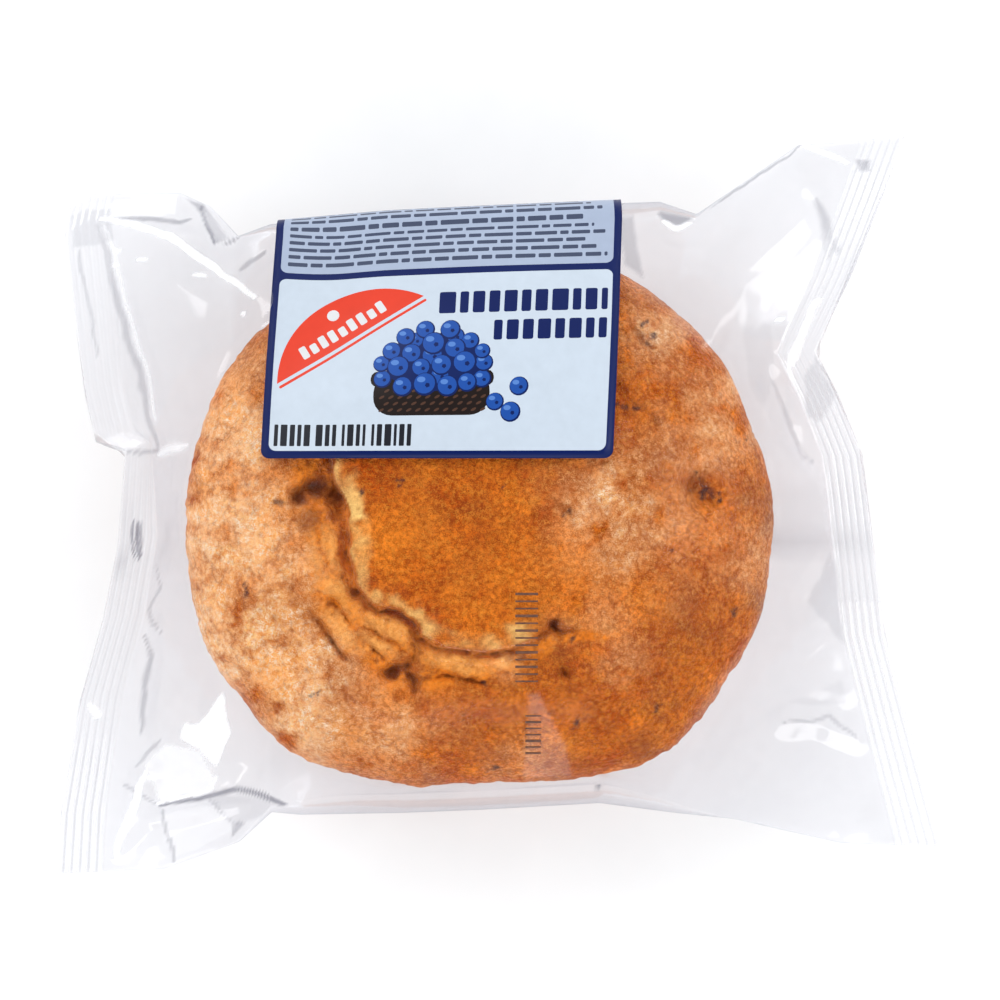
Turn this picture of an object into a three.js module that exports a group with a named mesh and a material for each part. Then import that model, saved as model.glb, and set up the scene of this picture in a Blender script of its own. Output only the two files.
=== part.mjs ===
// A muffin sealed in a clear film bag with a printed label, lying on its flat base.
// Millimetres, +Z up. X runs from one end seal to the other, and the label is at the back, towards +Y.
// The bag is one closed solid that holds the muffin: its top follows the crown and its torn crack,
// its ends draw in to flat crimped seals, and the label is a thin skin that lies over its back shoulder.
import * as THREE from "three";
import { mergeVertices } from "three/addons/utils/BufferGeometryUtils.js";

// The muffin inside, which sets the form of the bag
const MUFFIN_X = -3.8;
const MUFFIN_Y = -4.5;
const CROWN_RADIUS = 53.4;
const FRONT_FLAT = 46.5;
const WAIST_HEIGHT = 22;
const CROWN_HEIGHT = 45.6;
const BASE_RADIUS = 39;
const CROWN_ROUND = [2.5, 1.9];

// The film: how far it stands off the muffin, and the thickness that a seal has as a solid
const FILM_GAP = 0.5;
const SHOULDER_GAP = 4;
const SEAL_THICK = 0.8;
const SEAL_WIDTH = 8.5;
// In front of and behind the muffin the film's edge is rounded: its half height, bulge and reach along X
const EDGE_ROUND = 6;
const EDGE_BULGE = 0.62;
const EDGE_REACH = 50;
const EDGE_STEPS = 4;

// The bag's edge seen from above, corner by corner: x, y and the height of the edge there
const LEFT_SEAL = [
  [-81.7, -68.2, 3.5],
  [-80.8, -57.1, 5.5],
  [-76.9, -35.8, 9.5],
  [-72.4, -21.1, 12],
  [-69.6, -7.4, 13.5],
  [-68.3, 9.7, 13.5],
  [-73.8, 11.3, 11],
  [-75.9, 20.2, 11],
  [-77.3, 31.1, 11],
  [-79.6, 49.6, 10],
  [-78.7, 54.5, 9.5],
];
const RIGHT_SEAL = [
  [81.9, -63.1, 3.5],
  [76.1, -43.2, 8],
  [70.6, -23.8, 12],
  [68.3, -6.3, 14],
  [66.3, 9.1, 15.5],
  [61.7, 20.1, 17.5],
  [57.4, 28.1, 19],
  [64.2, 41.8, 17],
  [70.4, 57.4, 15],
  [74.1, 67.3, 14],
];
const FRONT_EDGE = [
  [-81.7, -68.2, 3.5],
  [-61.7, -67.2, 4],
  [-47.8, -62.1, 5],
  [-41.8, -56.5, 8],
  [-36.4, -56.7, 12],
  [-18.0, -56.0, 18],
  [-3.4, -55.3, 20],
  [18.3, -54.2, 18],
  [32.2, -56.3, 13],
  [43.3, -57.7, 9],
  [63.0, -62.4, 4.5],
  [81.9, -63.1, 3.5],
];
const BACK_EDGE = [
  [-78.7, 54.5, 9.5],
  [-74.4, 57.0, 10],
  [-58.4, 57.1, 12],
  [-52.8, 54.6, 13],
  [-47.5, 49.0, 16],
  [-41.5, 51.0, 19],
  [-20.0, 52.7, 21.5],
  [-3.4, 53.5, 22],
  [20.0, 54.6, 21.5],
  [29.2, 55.0, 20],
  [36.0, 52.9, 17.5],
  [45.2, 59.2, 15.5],
  [54.6, 65.7, 14],
  [74.1, 67.3, 14],
];

// The torn edge of the raised cap, and beside each point how wide and how deep the burst below it is
const TORN_EDGE = [
  [-29.2, 6.0, 6, 1.5],
  [-27.6, 2.5, 9, 4.2],
  [-27.2, -6.0, 9, 3.0],
  [-25.6, -13.6, 11, 2.6],
  [-22.3, -18.0, 13, 3.4],
  [-15.1, -20.9, 12, 4.4],
  [-11.8, -25.2, 9, 3.4],
  [-3.5, -26.8, 8, 2.4],
  [5.3, -26.3, 6, 1.6],
  [15.4, -22.7, 4, 1.0],
];
const TORN_LIP = 0.7;
const TORN_RAMP = 2;
// Dimples in the crown: x, y, radius and depth
const DIMPLES = [
  [-32.5, 0.5, 4, 2.6],
  [-17.5, -31.5, 5, 1.8],
  [36.5, 3.2, 4.5, 1.6],
  [10.5, -22.4, 3, 1.5],
  [24.0, 12.0, 4, 1.0],
];

// Folds of the film: from x, y to x, y, then the height of the ridge (down if negative) and its half width
const FOLDS = [
  [-72.5, 52.0, -42.5, 28.0, 2.6, 7],
  [-71.5, 50.0, -63.5, 12.0, -1.6, 4],
  [-62.5, -54.0, -40.5, -53.5, 3.0, 6],
  [-66.0, -49.0, -70.5, -64.5, 1.6, 4.5],
  [49.0, 23.0, 53.0, 12.0, -1.8, 4.5],
  [57.3, 28.1, 44.0, 22.0, 2.2, 6],
  [17.0, -47.8, 26.0, -54.5, 1.8, 4],
  [49.0, -37.5, 62.5, -39.5, -1.4, 4],
  [54.2, 65.3, 63.0, 62.0, 1.2, 4],
];

// The label: where its front edge starts and ends, how its sides lean, its size and its skin
const LABEL_LEFT = -42.0;
const LABEL_RIGHT = 20.0;
const LABEL_FRONT = [8.3, 8.0];
const LABEL_LEAN = [0.048, 0.048];
const LABEL_LENGTH = 68;
const LABEL_CORNER = 3;
const LABEL_LIFT = 1.0;
const LABEL_THICK = 0.4;

// How finely the bag and the label are divided
const BAG_COLUMNS = 54;
const BAG_ROWS = 34;
const LABEL_COLUMNS = 20;
const LABEL_ROWS = 36;
const LINE_STEPS = 60;
const RELAX_ROUNDS = 500;

const lerp = THREE.MathUtils.lerp;
const clamp = THREE.MathUtils.clamp;

// A point of a polyline where its coordinate number axis has the given value
function pointWhere(line, axis, value) {
  let i = 1;
  while (i < line.length - 1 && line[i][axis] < value) i += 1;
  const [a, b] = [line[i - 1], line[i]];
  const share = clamp((value - a[axis]) / (b[axis] - a[axis]), 0, 1);
  return a.map((v, k) => lerp(v, b[k], share));
}

const firstOf = (line) => line[0];
const lastOf = (line) => line[line.length - 1];

// Half the height of the rounded edge at a place along X: it thins to a seal's thickness at the ends
function edgeHalf(x) {
  const out = clamp(Math.abs(x - MUFFIN_X) / EDGE_REACH, 0, 1);
  return lerp(EDGE_ROUND, SEAL_THICK / 2, THREE.MathUtils.smoothstep(out, 0.45, 1));
}

const edgeBulge = (x) => EDGE_BULGE * (edgeHalf(x) - SEAL_THICK / 2);

// The point of the bag's middle surface at share s from left to right and t from front to back
function bagPoint(s, t) {
  const left = pointWhere(LEFT_SEAL, 1, lerp(firstOf(LEFT_SEAL)[1], lastOf(LEFT_SEAL)[1], t));
  const right = pointWhere(RIGHT_SEAL, 1, lerp(firstOf(RIGHT_SEAL)[1], lastOf(RIGHT_SEAL)[1], t));
  const front = pointWhere(FRONT_EDGE, 0, lerp(firstOf(FRONT_EDGE)[0], lastOf(FRONT_EDGE)[0], s));
  const back = pointWhere(BACK_EDGE, 0, lerp(firstOf(BACK_EDGE)[0], lastOf(BACK_EDGE)[0], s));
  front[1] += edgeBulge(front[0]);
  back[1] -= edgeBulge(back[0]);
  return [0, 1, 2].map(
    (k) =>
      lerp(left[k], right[k], s) +
      lerp(front[k], back[k], t) -
      lerp(
        lerp(firstOf(LEFT_SEAL)[k], firstOf(RIGHT_SEAL)[k], s),
        lerp(lastOf(LEFT_SEAL)[k], lastOf(RIGHT_SEAL)[k], s),
        t,
      ),
  );
}

// The share s, t of the bag at a place x, y
function sharesAt(x, y) {
  let s = 0.5;
  let t = 0.5;
  const width = lastOf(FRONT_EDGE)[0] - firstOf(FRONT_EDGE)[0];
  const depth = lastOf(LEFT_SEAL)[1] - firstOf(LEFT_SEAL)[1];
  for (let round = 0; round < 40; round += 1) {
    const [px, py] = bagPoint(s, t);
    s = clamp(s + (0.9 * (x - px)) / width, 0, 1);
    t = clamp(t + (0.9 * (y - py)) / depth, 0, 1);
  }
  return [s, t];
}

// The muffin's radius in the direction of x, y: round, with the front pressed flatter
function crownRadius(x, y) {
  const forward = Math.max(1e-6, -y / Math.hypot(x, y));
  const power = 14;
  return (CROWN_RADIUS ** -power + (FRONT_FLAT / forward) ** -power) ** (-1 / power);
}

// How far from a segment a place lies, the share along it, and on which side
function fromSegment(x, y, ax, ay, bx, by) {
  const [dx, dy] = [bx - ax, by - ay];
  const along = clamp(((x - ax) * dx + (y - ay) * dy) / (dx * dx + dy * dy), 0, 1);
  const [ox, oy] = [x - ax - along * dx, y - ay - along * dy];
  return { distance: Math.hypot(ox, oy), along, side: Math.sign(dx * oy - dy * ox) };
}

// The depth of the burst beside the torn edge, with the lip of the cap standing a little proud
function tornRelief(x, y) {
  let best = { distance: Infinity };
  for (let i = 1; i < TORN_EDGE.length; i += 1) {
    const [a, b] = [TORN_EDGE[i - 1], TORN_EDGE[i]];
    const found = fromSegment(x, y, a[0], a[1], b[0], b[1]);
    if (found.distance < best.distance)
      best = { ...found, width: lerp(a[2], b[2], found.along), depth: lerp(a[3], b[3], found.along) };
  }
  const outward = -best.side * best.distance;
  const lip = TORN_LIP * Math.max(0, 1 + outward / best.width);
  const step = THREE.MathUtils.smoothstep(outward, -TORN_RAMP, TORN_RAMP);
  const burst = -best.depth * Math.max(0, 1 - Math.max(0, outward) / best.width) ** 1.3;
  return lerp(Math.min(lip, TORN_LIP), burst, step);
}

function dimpleRelief(x, y) {
  let relief = 0;
  for (const [cx, cy, radius, depth] of DIMPLES)
    relief -= depth * Math.exp(-(((x - cx) ** 2 + (y - cy) ** 2) / (0.5 * radius * radius)));
  return relief;
}

// The height of the film where it lies on the crown, or -Infinity past the shoulder
function crownFilm(x, y) {
  const [mx, my] = [x - MUFFIN_X, y - MUFFIN_Y];
  const radius = Math.hypot(mx, my);
  const sideways = radius > 0 ? Math.abs(my) / radius : 0;
  const reach = crownRadius(mx, my) + FILM_GAP + SHOULDER_GAP * sideways ** 3;
  const out = radius / reach;
  if (out >= 1) return -Infinity;
  const rise = (1 - out ** CROWN_ROUND[0]) ** (1 / CROWN_ROUND[1]);
  return WAIST_HEIGHT + (CROWN_HEIGHT + FILM_GAP - WAIST_HEIGHT) * rise;
}

// The height of the film where it lies on the underside, or Infinity past the waist
function baseFilm(x, y) {
  const [mx, my] = [x - MUFFIN_X, y - MUFFIN_Y];
  const out = Math.hypot(mx, my) / (crownRadius(mx, my) + FILM_GAP);
  if (out >= 1) return Infinity;
  const base = BASE_RADIUS / CROWN_RADIUS;
  return out < base ? 0 : (WAIST_HEIGHT * (out - base)) / (1 - base);
}

// Crisp ridges and valleys across the free film
function foldRelief(x, y) {
  let relief = 0;
  for (const [ax, ay, bx, by, height, half] of FOLDS) {
    const { distance } = fromSegment(x, y, ax, ay, bx, by);
    relief += height * Math.max(0, 1 - distance / half);
  }
  return relief;
}

// A stretched sheet over the bag's plan: it hangs between its edges and rests on what limits it
function stretchSheet(plan, edgeHeight, limit, held) {
  const z = plan.map((row) => row.map((p) => edgeHeight(p)));
  const gap = (p, q) => Math.hypot(p[0] - q[0], p[1] - q[1]);
  for (let round = 0; round < RELAX_ROUNDS; round += 1)
    for (let i = 1; i < plan.length - 1; i += 1)
      for (let j = 1; j < plan[i].length - 1; j += 1) {
        if (held(i)) continue;
        const here = plan[i][j];
        const [west, east] = [gap(here, plan[i - 1][j]), gap(here, plan[i + 1][j])];
        const [south, north] = [gap(here, plan[i][j - 1]), gap(here, plan[i][j + 1])];
        const across = 1 / (west + east);
        const deep = 1 / (south + north);
        const pull =
          across * (z[i - 1][j] / west + z[i + 1][j] / east) +
          deep * (z[i][j - 1] / south + z[i][j + 1] / north);
        const weight = across * (1 / west + 1 / east) + deep * (1 / south + 1 / north);
        z[i][j] = limit(pull / weight, here[0], here[1]);
      }
  return z;
}

// The shares at which the bag is divided: even between the seals, and closer near the front and back edges
const fullWidth = lastOf(FRONT_EDGE)[0] - firstOf(FRONT_EDGE)[0];
const sealShare = SEAL_WIDTH / fullWidth;
const columnShares = [0];
for (let i = 0; i <= BAG_COLUMNS - 2; i += 1)
  columnShares.push(lerp(sealShare, 1 - sealShare, i / (BAG_COLUMNS - 2)));
columnShares.push(1);
const rowShares = [];
for (let j = 0; j <= BAG_ROWS; j += 1) {
  const even = j / BAG_ROWS;
  const bunched = 0.5 - 0.5 * Math.cos(Math.PI * even);
  rowShares.push(lerp(even, bunched, 0.6));
}
const plan = columnShares.map((s) => rowShares.map((t) => bagPoint(s, t)));
const inSeal = (i) => i <= 1 || i >= BAG_COLUMNS - 1;

const topHeights = stretchSheet(
  plan,
  (p) => p[2] + edgeHalf(p[0]),
  (z, x, y) => Math.max(z, crownFilm(x, y)),
  inSeal,
);
const lowHeights = stretchSheet(
  plan,
  (p) => p[2] - edgeHalf(p[0]),
  (z, x, y) => Math.max(0, Math.min(z, baseFilm(x, y))),
  inSeal,
);

// Relief is added where the sheet is free of its edges: the burst crust on the crown, the folds beside it
for (let i = 2; i < BAG_COLUMNS - 1; i += 1)
  for (let j = 1; j < BAG_ROWS; j += 1) {
    const [x, y] = plan[i][j];
    const onCrown = topHeights[i][j] <= crownFilm(x, y) + 1e-6;
    const relief = onCrown ? tornRelief(x, y) + dimpleRelief(x, y) : foldRelief(x, y);
    const room = topHeights[i][j] - lowHeights[i][j] - SEAL_THICK;
    topHeights[i][j] += Math.max(relief, -room);
  }

// The points of the rounded edge between the two sheets, from the top one down; way is 1 behind and -1 in front
function edgePoints(x, y, high, low, way) {
  const points = [];
  for (let k = 1; k < EDGE_STEPS; k += 1) {
    const turn = (k / EDGE_STEPS) * Math.PI;
    const z = lerp(low, high, 0.5 + 0.5 * Math.cos(turn));
    points.push(new THREE.Vector3(x, y + way * edgeBulge(x) * Math.sin(turn), z));
  }
  return points;
}

// The bag as one closed surface: each column is a ring over the top, round the back, below and round the front
function makeBag() {
  const rings = plan.map((row, i) => {
    const top = row.map((p, j) => new THREE.Vector3(p[0], p[1], topHeights[i][j]));
    const low = row.map((p, j) => new THREE.Vector3(p[0], p[1], lowHeights[i][j]));
    const [frontTop, backTop] = [firstOf(top), lastOf(top)];
    const behind = edgePoints(backTop.x, backTop.y, backTop.z, lastOf(low).z, 1);
    const infront = edgePoints(frontTop.x, frontTop.y, frontTop.z, firstOf(low).z, -1);
    return [...top, ...behind, ...low.reverse(), ...infront.reverse()];
  });
  const size = rings[0].length;
  const positions = rings.flatMap((ring) => ring.flatMap((p) => p.toArray()));
  const at = (i, k) => i * size + (k % size);
  const faces = [];
  const quad = (a, b, c, d) => faces.push(a, b, c, a, c, d);
  for (let i = 0; i < BAG_COLUMNS; i += 1)
    for (let k = 0; k < size; k += 1) quad(at(i, k), at(i + 1, k), at(i + 1, k + 1), at(i, k + 1));
  // The two ends are closed by strips from the top row of points to the bottom row
  const lowStart = BAG_ROWS + EDGE_STEPS;
  const opposite = (k) => lowStart + BAG_ROWS - k;
  for (let k = 0; k < BAG_ROWS; k += 1) {
    quad(at(0, k), at(0, k + 1), at(0, opposite(k + 1)), at(0, opposite(k)));
    quad(at(BAG_COLUMNS, k), at(BAG_COLUMNS, opposite(k)), at(BAG_COLUMNS, opposite(k + 1)), at(BAG_COLUMNS, k + 1));
  }
  for (const [column, flip] of [
    [0, false],
    [BAG_COLUMNS, true],
  ])
    for (const [start, span] of [
      [BAG_ROWS, EDGE_STEPS],
      [lowStart + BAG_ROWS, EDGE_STEPS],
    ])
      for (let k = 1; k < span; k += 1) {
        const fan = [at(column, start), at(column, start + k), at(column, start + k + 1)];
        faces.push(...(flip ? fan.reverse() : fan));
      }
  return closedGeometry(positions, faces);
}

function closedGeometry(positions, faces) {
  const geometry = new THREE.BufferGeometry();
  geometry.setAttribute("position", new THREE.Float32BufferAttribute(positions, 3));
  geometry.setIndex(faces);
  const merged = mergeVertices(geometry, 1e-4);
  merged.computeVertexNormals();
  return merged;
}

// The height of one of the bag's sheets at shares s, t
function sheetHeight(heights, s, t) {
  let i = 0;
  while (i < BAG_COLUMNS - 1 && columnShares[i + 1] < s) i += 1;
  let j = 0;
  while (j < BAG_ROWS - 1 && rowShares[j + 1] < t) j += 1;
  const across = (s - columnShares[i]) / (columnShares[i + 1] - columnShares[i]);
  const deep = (t - rowShares[j]) / (rowShares[j + 1] - rowShares[j]);
  return lerp(
    lerp(heights[i][j], heights[i + 1][j], across),
    lerp(heights[i][j + 1], heights[i + 1][j + 1], across),
    deep,
  );
}

// A line over the bag from the label's front edge, up over the crown, round the back edge and down behind it
function lineOverBack(share) {
  const startX = lerp(LABEL_LEFT, LABEL_RIGHT, share);
  const startY = lerp(LABEL_FRONT[0], LABEL_FRONT[1], share);
  const lean = lerp(LABEL_LEAN[0], LABEL_LEAN[1], share);
  const placeX = (y) => startX + lean * (y - startY);
  const sheetPoint = (heights, y) => {
    const [s, t] = sharesAt(placeX(y), y);
    return new THREE.Vector3(placeX(y), y, sheetHeight(heights, s, t));
  };
  const edge = pointWhere(BACK_EDGE, 0, placeX(startY + LABEL_LENGTH * 0.65));
  const backY = edge[1] - edgeBulge(edge[0]);
  const over = [];
  const under = [];
  for (let k = 0; k <= LINE_STEPS; k += 1) {
    const share = k / LINE_STEPS;
    over.push(sheetPoint(topHeights, lerp(startY, backY, share)));
    under.push(sheetPoint(lowHeights, lerp(backY, backY - LABEL_LENGTH / 3, share)));
  }
  const [top, low] = [lastOf(over), firstOf(under)];
  return [...over, ...edgePoints(top.x, top.y, top.z, low.z, 1), ...under];
}

// Points at even steps of length along a line, from one length to another
function spacedAlong(line, from, to, steps) {
  const lengths = [0];
  for (let k = 1; k < line.length; k += 1)
    lengths.push(lengths[k - 1] + line[k].distanceTo(line[k - 1]));
  const points = [];
  for (let j = 0; j <= steps; j += 1) {
    const wanted = lerp(from, to, j / steps);
    let k = 1;
    while (k < line.length - 1 && lengths[k] < wanted) k += 1;
    const share = (wanted - lengths[k - 1]) / Math.max(1e-9, lengths[k] - lengths[k - 1]);
    points.push(line[k - 1].clone().lerp(line[k], clamp(share, 0, 1)));
  }
  return points;
}

// The label as a thin skin: its columns run over the back, and end in rounded corners
function makeLabel() {
  const labelWidth = LABEL_RIGHT - LABEL_LEFT;
  const grid = [];
  for (let i = 0; i <= LABEL_COLUMNS; i += 1) {
    const share = 0.5 - 0.5 * Math.cos((Math.PI * i) / LABEL_COLUMNS);
    const fromSide = Math.min(share, 1 - share) * labelWidth;
    const inset = Math.max(0, LABEL_CORNER - fromSide);
    const cut = LABEL_CORNER - Math.sqrt(LABEL_CORNER ** 2 - inset ** 2);
    grid.push(spacedAlong(lineOverBack(share), cut, LABEL_LENGTH - cut, LABEL_ROWS));
  }
  const normalAt = (i, j) => {
    const west = grid[Math.max(0, i - 1)][j];
    const east = grid[Math.min(LABEL_COLUMNS, i + 1)][j];
    const south = grid[i][Math.max(0, j - 1)];
    const north = grid[i][Math.min(LABEL_ROWS, j + 1)];
    return east.clone().sub(west).cross(north.clone().sub(south)).normalize();
  };
  const positions = [];
  for (const lift of [LABEL_LIFT + LABEL_THICK, LABEL_LIFT])
    grid.forEach((column, i) =>
      column.forEach((p, j) => positions.push(...p.clone().addScaledVector(normalAt(i, j), lift).toArray())),
    );
  const faces = [];
  const outAt = (i, j) => i * (LABEL_ROWS + 1) + j;
  const inAt = (i, j) => (LABEL_COLUMNS + 1) * (LABEL_ROWS + 1) + outAt(i, j);
  const quad = (a, b, c, d) => faces.push(a, b, c, a, c, d);
  for (let i = 0; i < LABEL_COLUMNS; i += 1)
    for (let j = 0; j < LABEL_ROWS; j += 1) {
      quad(outAt(i, j), outAt(i + 1, j), outAt(i + 1, j + 1), outAt(i, j + 1));
      quad(inAt(i, j), inAt(i, j + 1), inAt(i + 1, j + 1), inAt(i + 1, j));
    }
  for (let i = 0; i < LABEL_COLUMNS; i += 1) {
    quad(inAt(i, 0), inAt(i + 1, 0), outAt(i + 1, 0), outAt(i, 0));
    quad(outAt(i, LABEL_ROWS), outAt(i + 1, LABEL_ROWS), inAt(i + 1, LABEL_ROWS), inAt(i, LABEL_ROWS));
  }
  for (let j = 0; j < LABEL_ROWS; j += 1) {
    quad(outAt(0, j), outAt(0, j + 1), inAt(0, j + 1), inAt(0, j));
    quad(inAt(LABEL_COLUMNS, j), inAt(LABEL_COLUMNS, j + 1), outAt(LABEL_COLUMNS, j + 1), outAt(LABEL_COLUMNS, j));
  }
  return closedGeometry(positions, faces);
}

const film = new THREE.MeshStandardMaterial({ color: 0xc98a55, roughness: 0.25, metalness: 0 });
const print = new THREE.MeshStandardMaterial({ color: 0xdbe7f6, roughness: 0.35, metalness: 0 });

const pack = new THREE.Group();
const bag = new THREE.Mesh(makeBag(), film);
bag.name = "sealed_bag";
const label = new THREE.Mesh(makeLabel(), print);
label.name = "label";
pack.add(bag, label);

export default pack;
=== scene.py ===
# %% [markdown]
# A muffin in a clear film bag
#
# This lesson dresses a packed muffin: a large domed muffin with a torn top, sealed in a clear film bag
# that carries a printed label. The plain model gives the frame and the sizes. Four pieces are made here:
# the baked muffin, the film with its folds and crimped seals, the strokes printed on the film, and the
# label with its print.

# %% Load the plain model and note its box
import math

import bpy
import numpy as np
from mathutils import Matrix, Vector
from mathutils.geometry import delaunay_2d_cdt


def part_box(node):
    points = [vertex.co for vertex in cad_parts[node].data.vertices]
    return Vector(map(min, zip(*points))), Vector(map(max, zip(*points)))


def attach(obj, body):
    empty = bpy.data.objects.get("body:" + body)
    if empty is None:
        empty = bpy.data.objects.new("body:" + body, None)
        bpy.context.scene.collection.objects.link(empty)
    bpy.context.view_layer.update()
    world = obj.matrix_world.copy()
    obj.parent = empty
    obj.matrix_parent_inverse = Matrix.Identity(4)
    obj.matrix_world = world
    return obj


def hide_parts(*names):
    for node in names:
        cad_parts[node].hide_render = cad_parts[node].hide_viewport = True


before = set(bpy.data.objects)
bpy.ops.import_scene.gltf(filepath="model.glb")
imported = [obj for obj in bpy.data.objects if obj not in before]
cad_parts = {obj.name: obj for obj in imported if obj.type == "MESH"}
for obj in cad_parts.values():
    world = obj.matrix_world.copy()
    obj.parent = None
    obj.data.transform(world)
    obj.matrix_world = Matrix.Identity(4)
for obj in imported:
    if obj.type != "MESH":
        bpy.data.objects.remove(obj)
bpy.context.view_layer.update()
BODY = "root"
MM = 0.001
bag_low, bag_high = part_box("sealed_bag")
print("the bag is", [round(1000 * (h - l), 1) for l, h in zip(bag_low, bag_high)], "mm")

# %% [markdown]
# Small tools for making meshes
#
# Every shape here is a field of heights, worked out with numpy over a grid, because a crust and a film
# are both mostly seen from above. A grid of points becomes a mesh of four-sided faces. Numbers that the
# materials need, such as where the crust is torn, are stored on the points as attributes.

# %% Meshes from grids, and soft noise
def lerp(a, b, share):
    return a + (b - a) * share


def ease(value, low, high):
    """0 below low, 1 above high and a smooth step between."""
    share = np.clip((value - low) / (high - low), 0, 1)
    return share * share * (3 - 2 * share)


def between_corners(corner, a, b):
    """The value at the shares a, b of a square cell, from corner(0 or 1, 0 or 1)."""
    near = lerp(corner(0, 0), corner(1, 0), a)
    far = lerp(corner(0, 1), corner(1, 1), a)
    return lerp(near, far, b)


NOISE_SIZE = 256
NOISE_ORIGIN = 1000.5


def lattice_noise(x, y, cell, seed):
    """Soft random hills about -1 to 1, with one value at each corner of a square lattice."""
    table = np.random.default_rng(seed).uniform(-1, 1, (NOISE_SIZE, NOISE_SIZE))
    u, v = np.asarray(x) / cell + NOISE_ORIGIN, np.asarray(y) / cell + NOISE_ORIGIN
    i, j = np.floor(u).astype(int), np.floor(v).astype(int)
    a, b = u - i, v - j
    a, b = a * a * (3 - 2 * a), b * b * (3 - 2 * b)
    corner = lambda di, dj: table[(i + di) % NOISE_SIZE, (j + dj) % NOISE_SIZE]
    return between_corners(corner, a, b)


FIRST_TURN = 0.6
LAYER_TURN = 1.1


def rough_noise(x, y, cell, seed, layers=3, keep=0.5):
    """Layers of soft noise, each half the size of the last and turned, so that no lattice shows."""
    total, strength = 0, 1
    for layer in range(layers):
        turn = FIRST_TURN + LAYER_TURN * layer
        u = x * math.cos(turn) - y * math.sin(turn)
        v = x * math.sin(turn) + y * math.cos(turn)
        total = total + strength * lattice_noise(u, v, cell / 2**layer, seed + layer)
        strength *= keep
    return total


def new_piece(name, points, faces, material, attributes=None):
    """A mesh object from points in millimetres."""
    mesh = bpy.data.meshes.new(name)
    mesh.from_pydata((np.asarray(points) * MM).tolist(), [], faces)
    for key, values in (attributes or {}).items():
        layer = mesh.attributes.new(key, "FLOAT", "POINT")
        layer.data.foreach_set("value", np.asarray(values, dtype=np.float32).ravel())
    mesh.shade_smooth()
    mesh.materials.append(material)
    piece = bpy.data.objects.new(name, mesh)
    bpy.context.scene.collection.objects.link(piece)
    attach(piece, BODY)
    print(name, "has", len(mesh.polygons), "faces")
    return piece


def grid_faces(columns, rows):
    """Faces between columns x rows points, numbered column by column."""
    i, j = np.meshgrid(np.arange(columns - 1), np.arange(rows - 1), indexing="ij")
    a = (i * rows + j).ravel()
    return np.stack([a, a + rows, a + rows + 1, a + 1], axis=1).tolist()


FAR_AWAY = 1e9


def line_steps(line):
    """The length of each stretch of a line, and how far along it each point is."""
    steps = np.hypot(*np.diff(line[:, :2], axis=0).T)
    return steps, np.concatenate([[0], np.cumsum(steps)])


def near_line(x, y, line):
    """For each place: how far the line is, the side (1 is left of it), and the share of the way along it."""
    line = np.asarray(line, dtype=float)
    best = np.full(np.shape(x), FAR_AWAY)
    side = np.zeros_like(best)
    along = np.zeros_like(best)
    steps, starts = line_steps(line)
    for k in range(len(line) - 1):
        (ax, ay), (bx, by) = line[k, :2], line[k + 1, :2]
        dx, dy = bx - ax, by - ay
        t = np.clip(((x - ax) * dx + (y - ay) * dy) / (dx * dx + dy * dy), 0, 1)
        ox, oy = x - ax - t * dx, y - ay - t * dy
        distance = np.hypot(ox, oy)
        closer = distance < best
        best = np.where(closer, distance, best)
        side = np.where(closer, np.sign(dx * oy - dy * ox), side)
        along = np.where(closer, (starts[k] + t * steps[k]) / starts[-1], along)
    return best, side, along


# %% [markdown]
# The camera, the floor and the light
#
# The pack is seen from straight above on a white floor. One large soft light at the back left and a
# weaker one at the front right give the crust its relief. Their reflections are what makes a clear film
# show at all, so both are large panels, with darkness between them for the folds to mirror.

# %% Camera, floor and lights
CAMERA_HEIGHT = 0.90
CAMERA_LENS = 174.6
CAMERA_PLACE = (0.0002, 0.0009)
CAMERA_SENSOR = 36
scene = bpy.context.scene
camera = bpy.data.objects.new("camera", bpy.data.cameras.new("camera"))
camera.data.sensor_width = CAMERA_SENSOR
camera.data.lens = CAMERA_LENS
camera.location = (*CAMERA_PLACE, CAMERA_HEIGHT)
scene.collection.objects.link(camera)
scene.camera = camera
scene.view_settings.view_transform = "Standard"


# Each panel: its place, its width and height, and its power in watts
PANELS = {
    "key_panel": ((-0.75, 0.85, 0.95), (0.9, 0.7), 7.0),
    "side_panel": ((1.05, 0.1, 0.7), (0.5, 0.9), 4.6),
    "front_panel": ((-0.1, -1.1, 0.75), (0.9, 0.3), 3.5),
}
PANEL_AIM = Vector((0, 0, 0.02))
ROOM_LIGHT = 1.34
# How high the walls end and the ceiling begins, as a share of the way up, with their tones
WALL = (0.72, (0.96, 0.98, 1.0, 1))
CEILING = (0.93, (0.10, 0.10, 0.11, 1))


def add_panel(name, place, size, watts):
    lamp = bpy.data.lights.new(name, "AREA")
    lamp.shape, lamp.size, lamp.size_y = "RECTANGLE", *size
    lamp.energy = watts
    light = bpy.data.objects.new(name, lamp)
    light.location = place
    light.rotation_euler = (PANEL_AIM - Vector(place)).to_track_quat("-Z", "Y").to_euler()
    scene.collection.objects.link(light)


def light_the_room(tree):
    """Bright walls and a dark ceiling, which flat film would mirror as a grey veil."""
    way = tree.nodes.new("ShaderNodeTexCoord").outputs["Generated"]
    split = tree.nodes.new("ShaderNodeSeparateXYZ")
    tree.links.new(way, split.inputs[0])
    ramp = tree.nodes.new("ShaderNodeValToRGB")
    tree.links.new(split.outputs["Z"], ramp.inputs[0])
    for stop, (position, tone) in zip(ramp.color_ramp.elements, (WALL, CEILING)):
        stop.position, stop.color = position, tone
    tree.links.new(ramp.outputs[0], tree.nodes["Background"].inputs["Color"])
    tree.nodes["Background"].inputs["Strength"].default_value = ROOM_LIGHT


for name, panel in PANELS.items():
    add_panel(name, *panel)
world = bpy.data.worlds.new("studio")
scene.world = world
world.use_nodes = True
light_the_room(world.node_tree)

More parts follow.
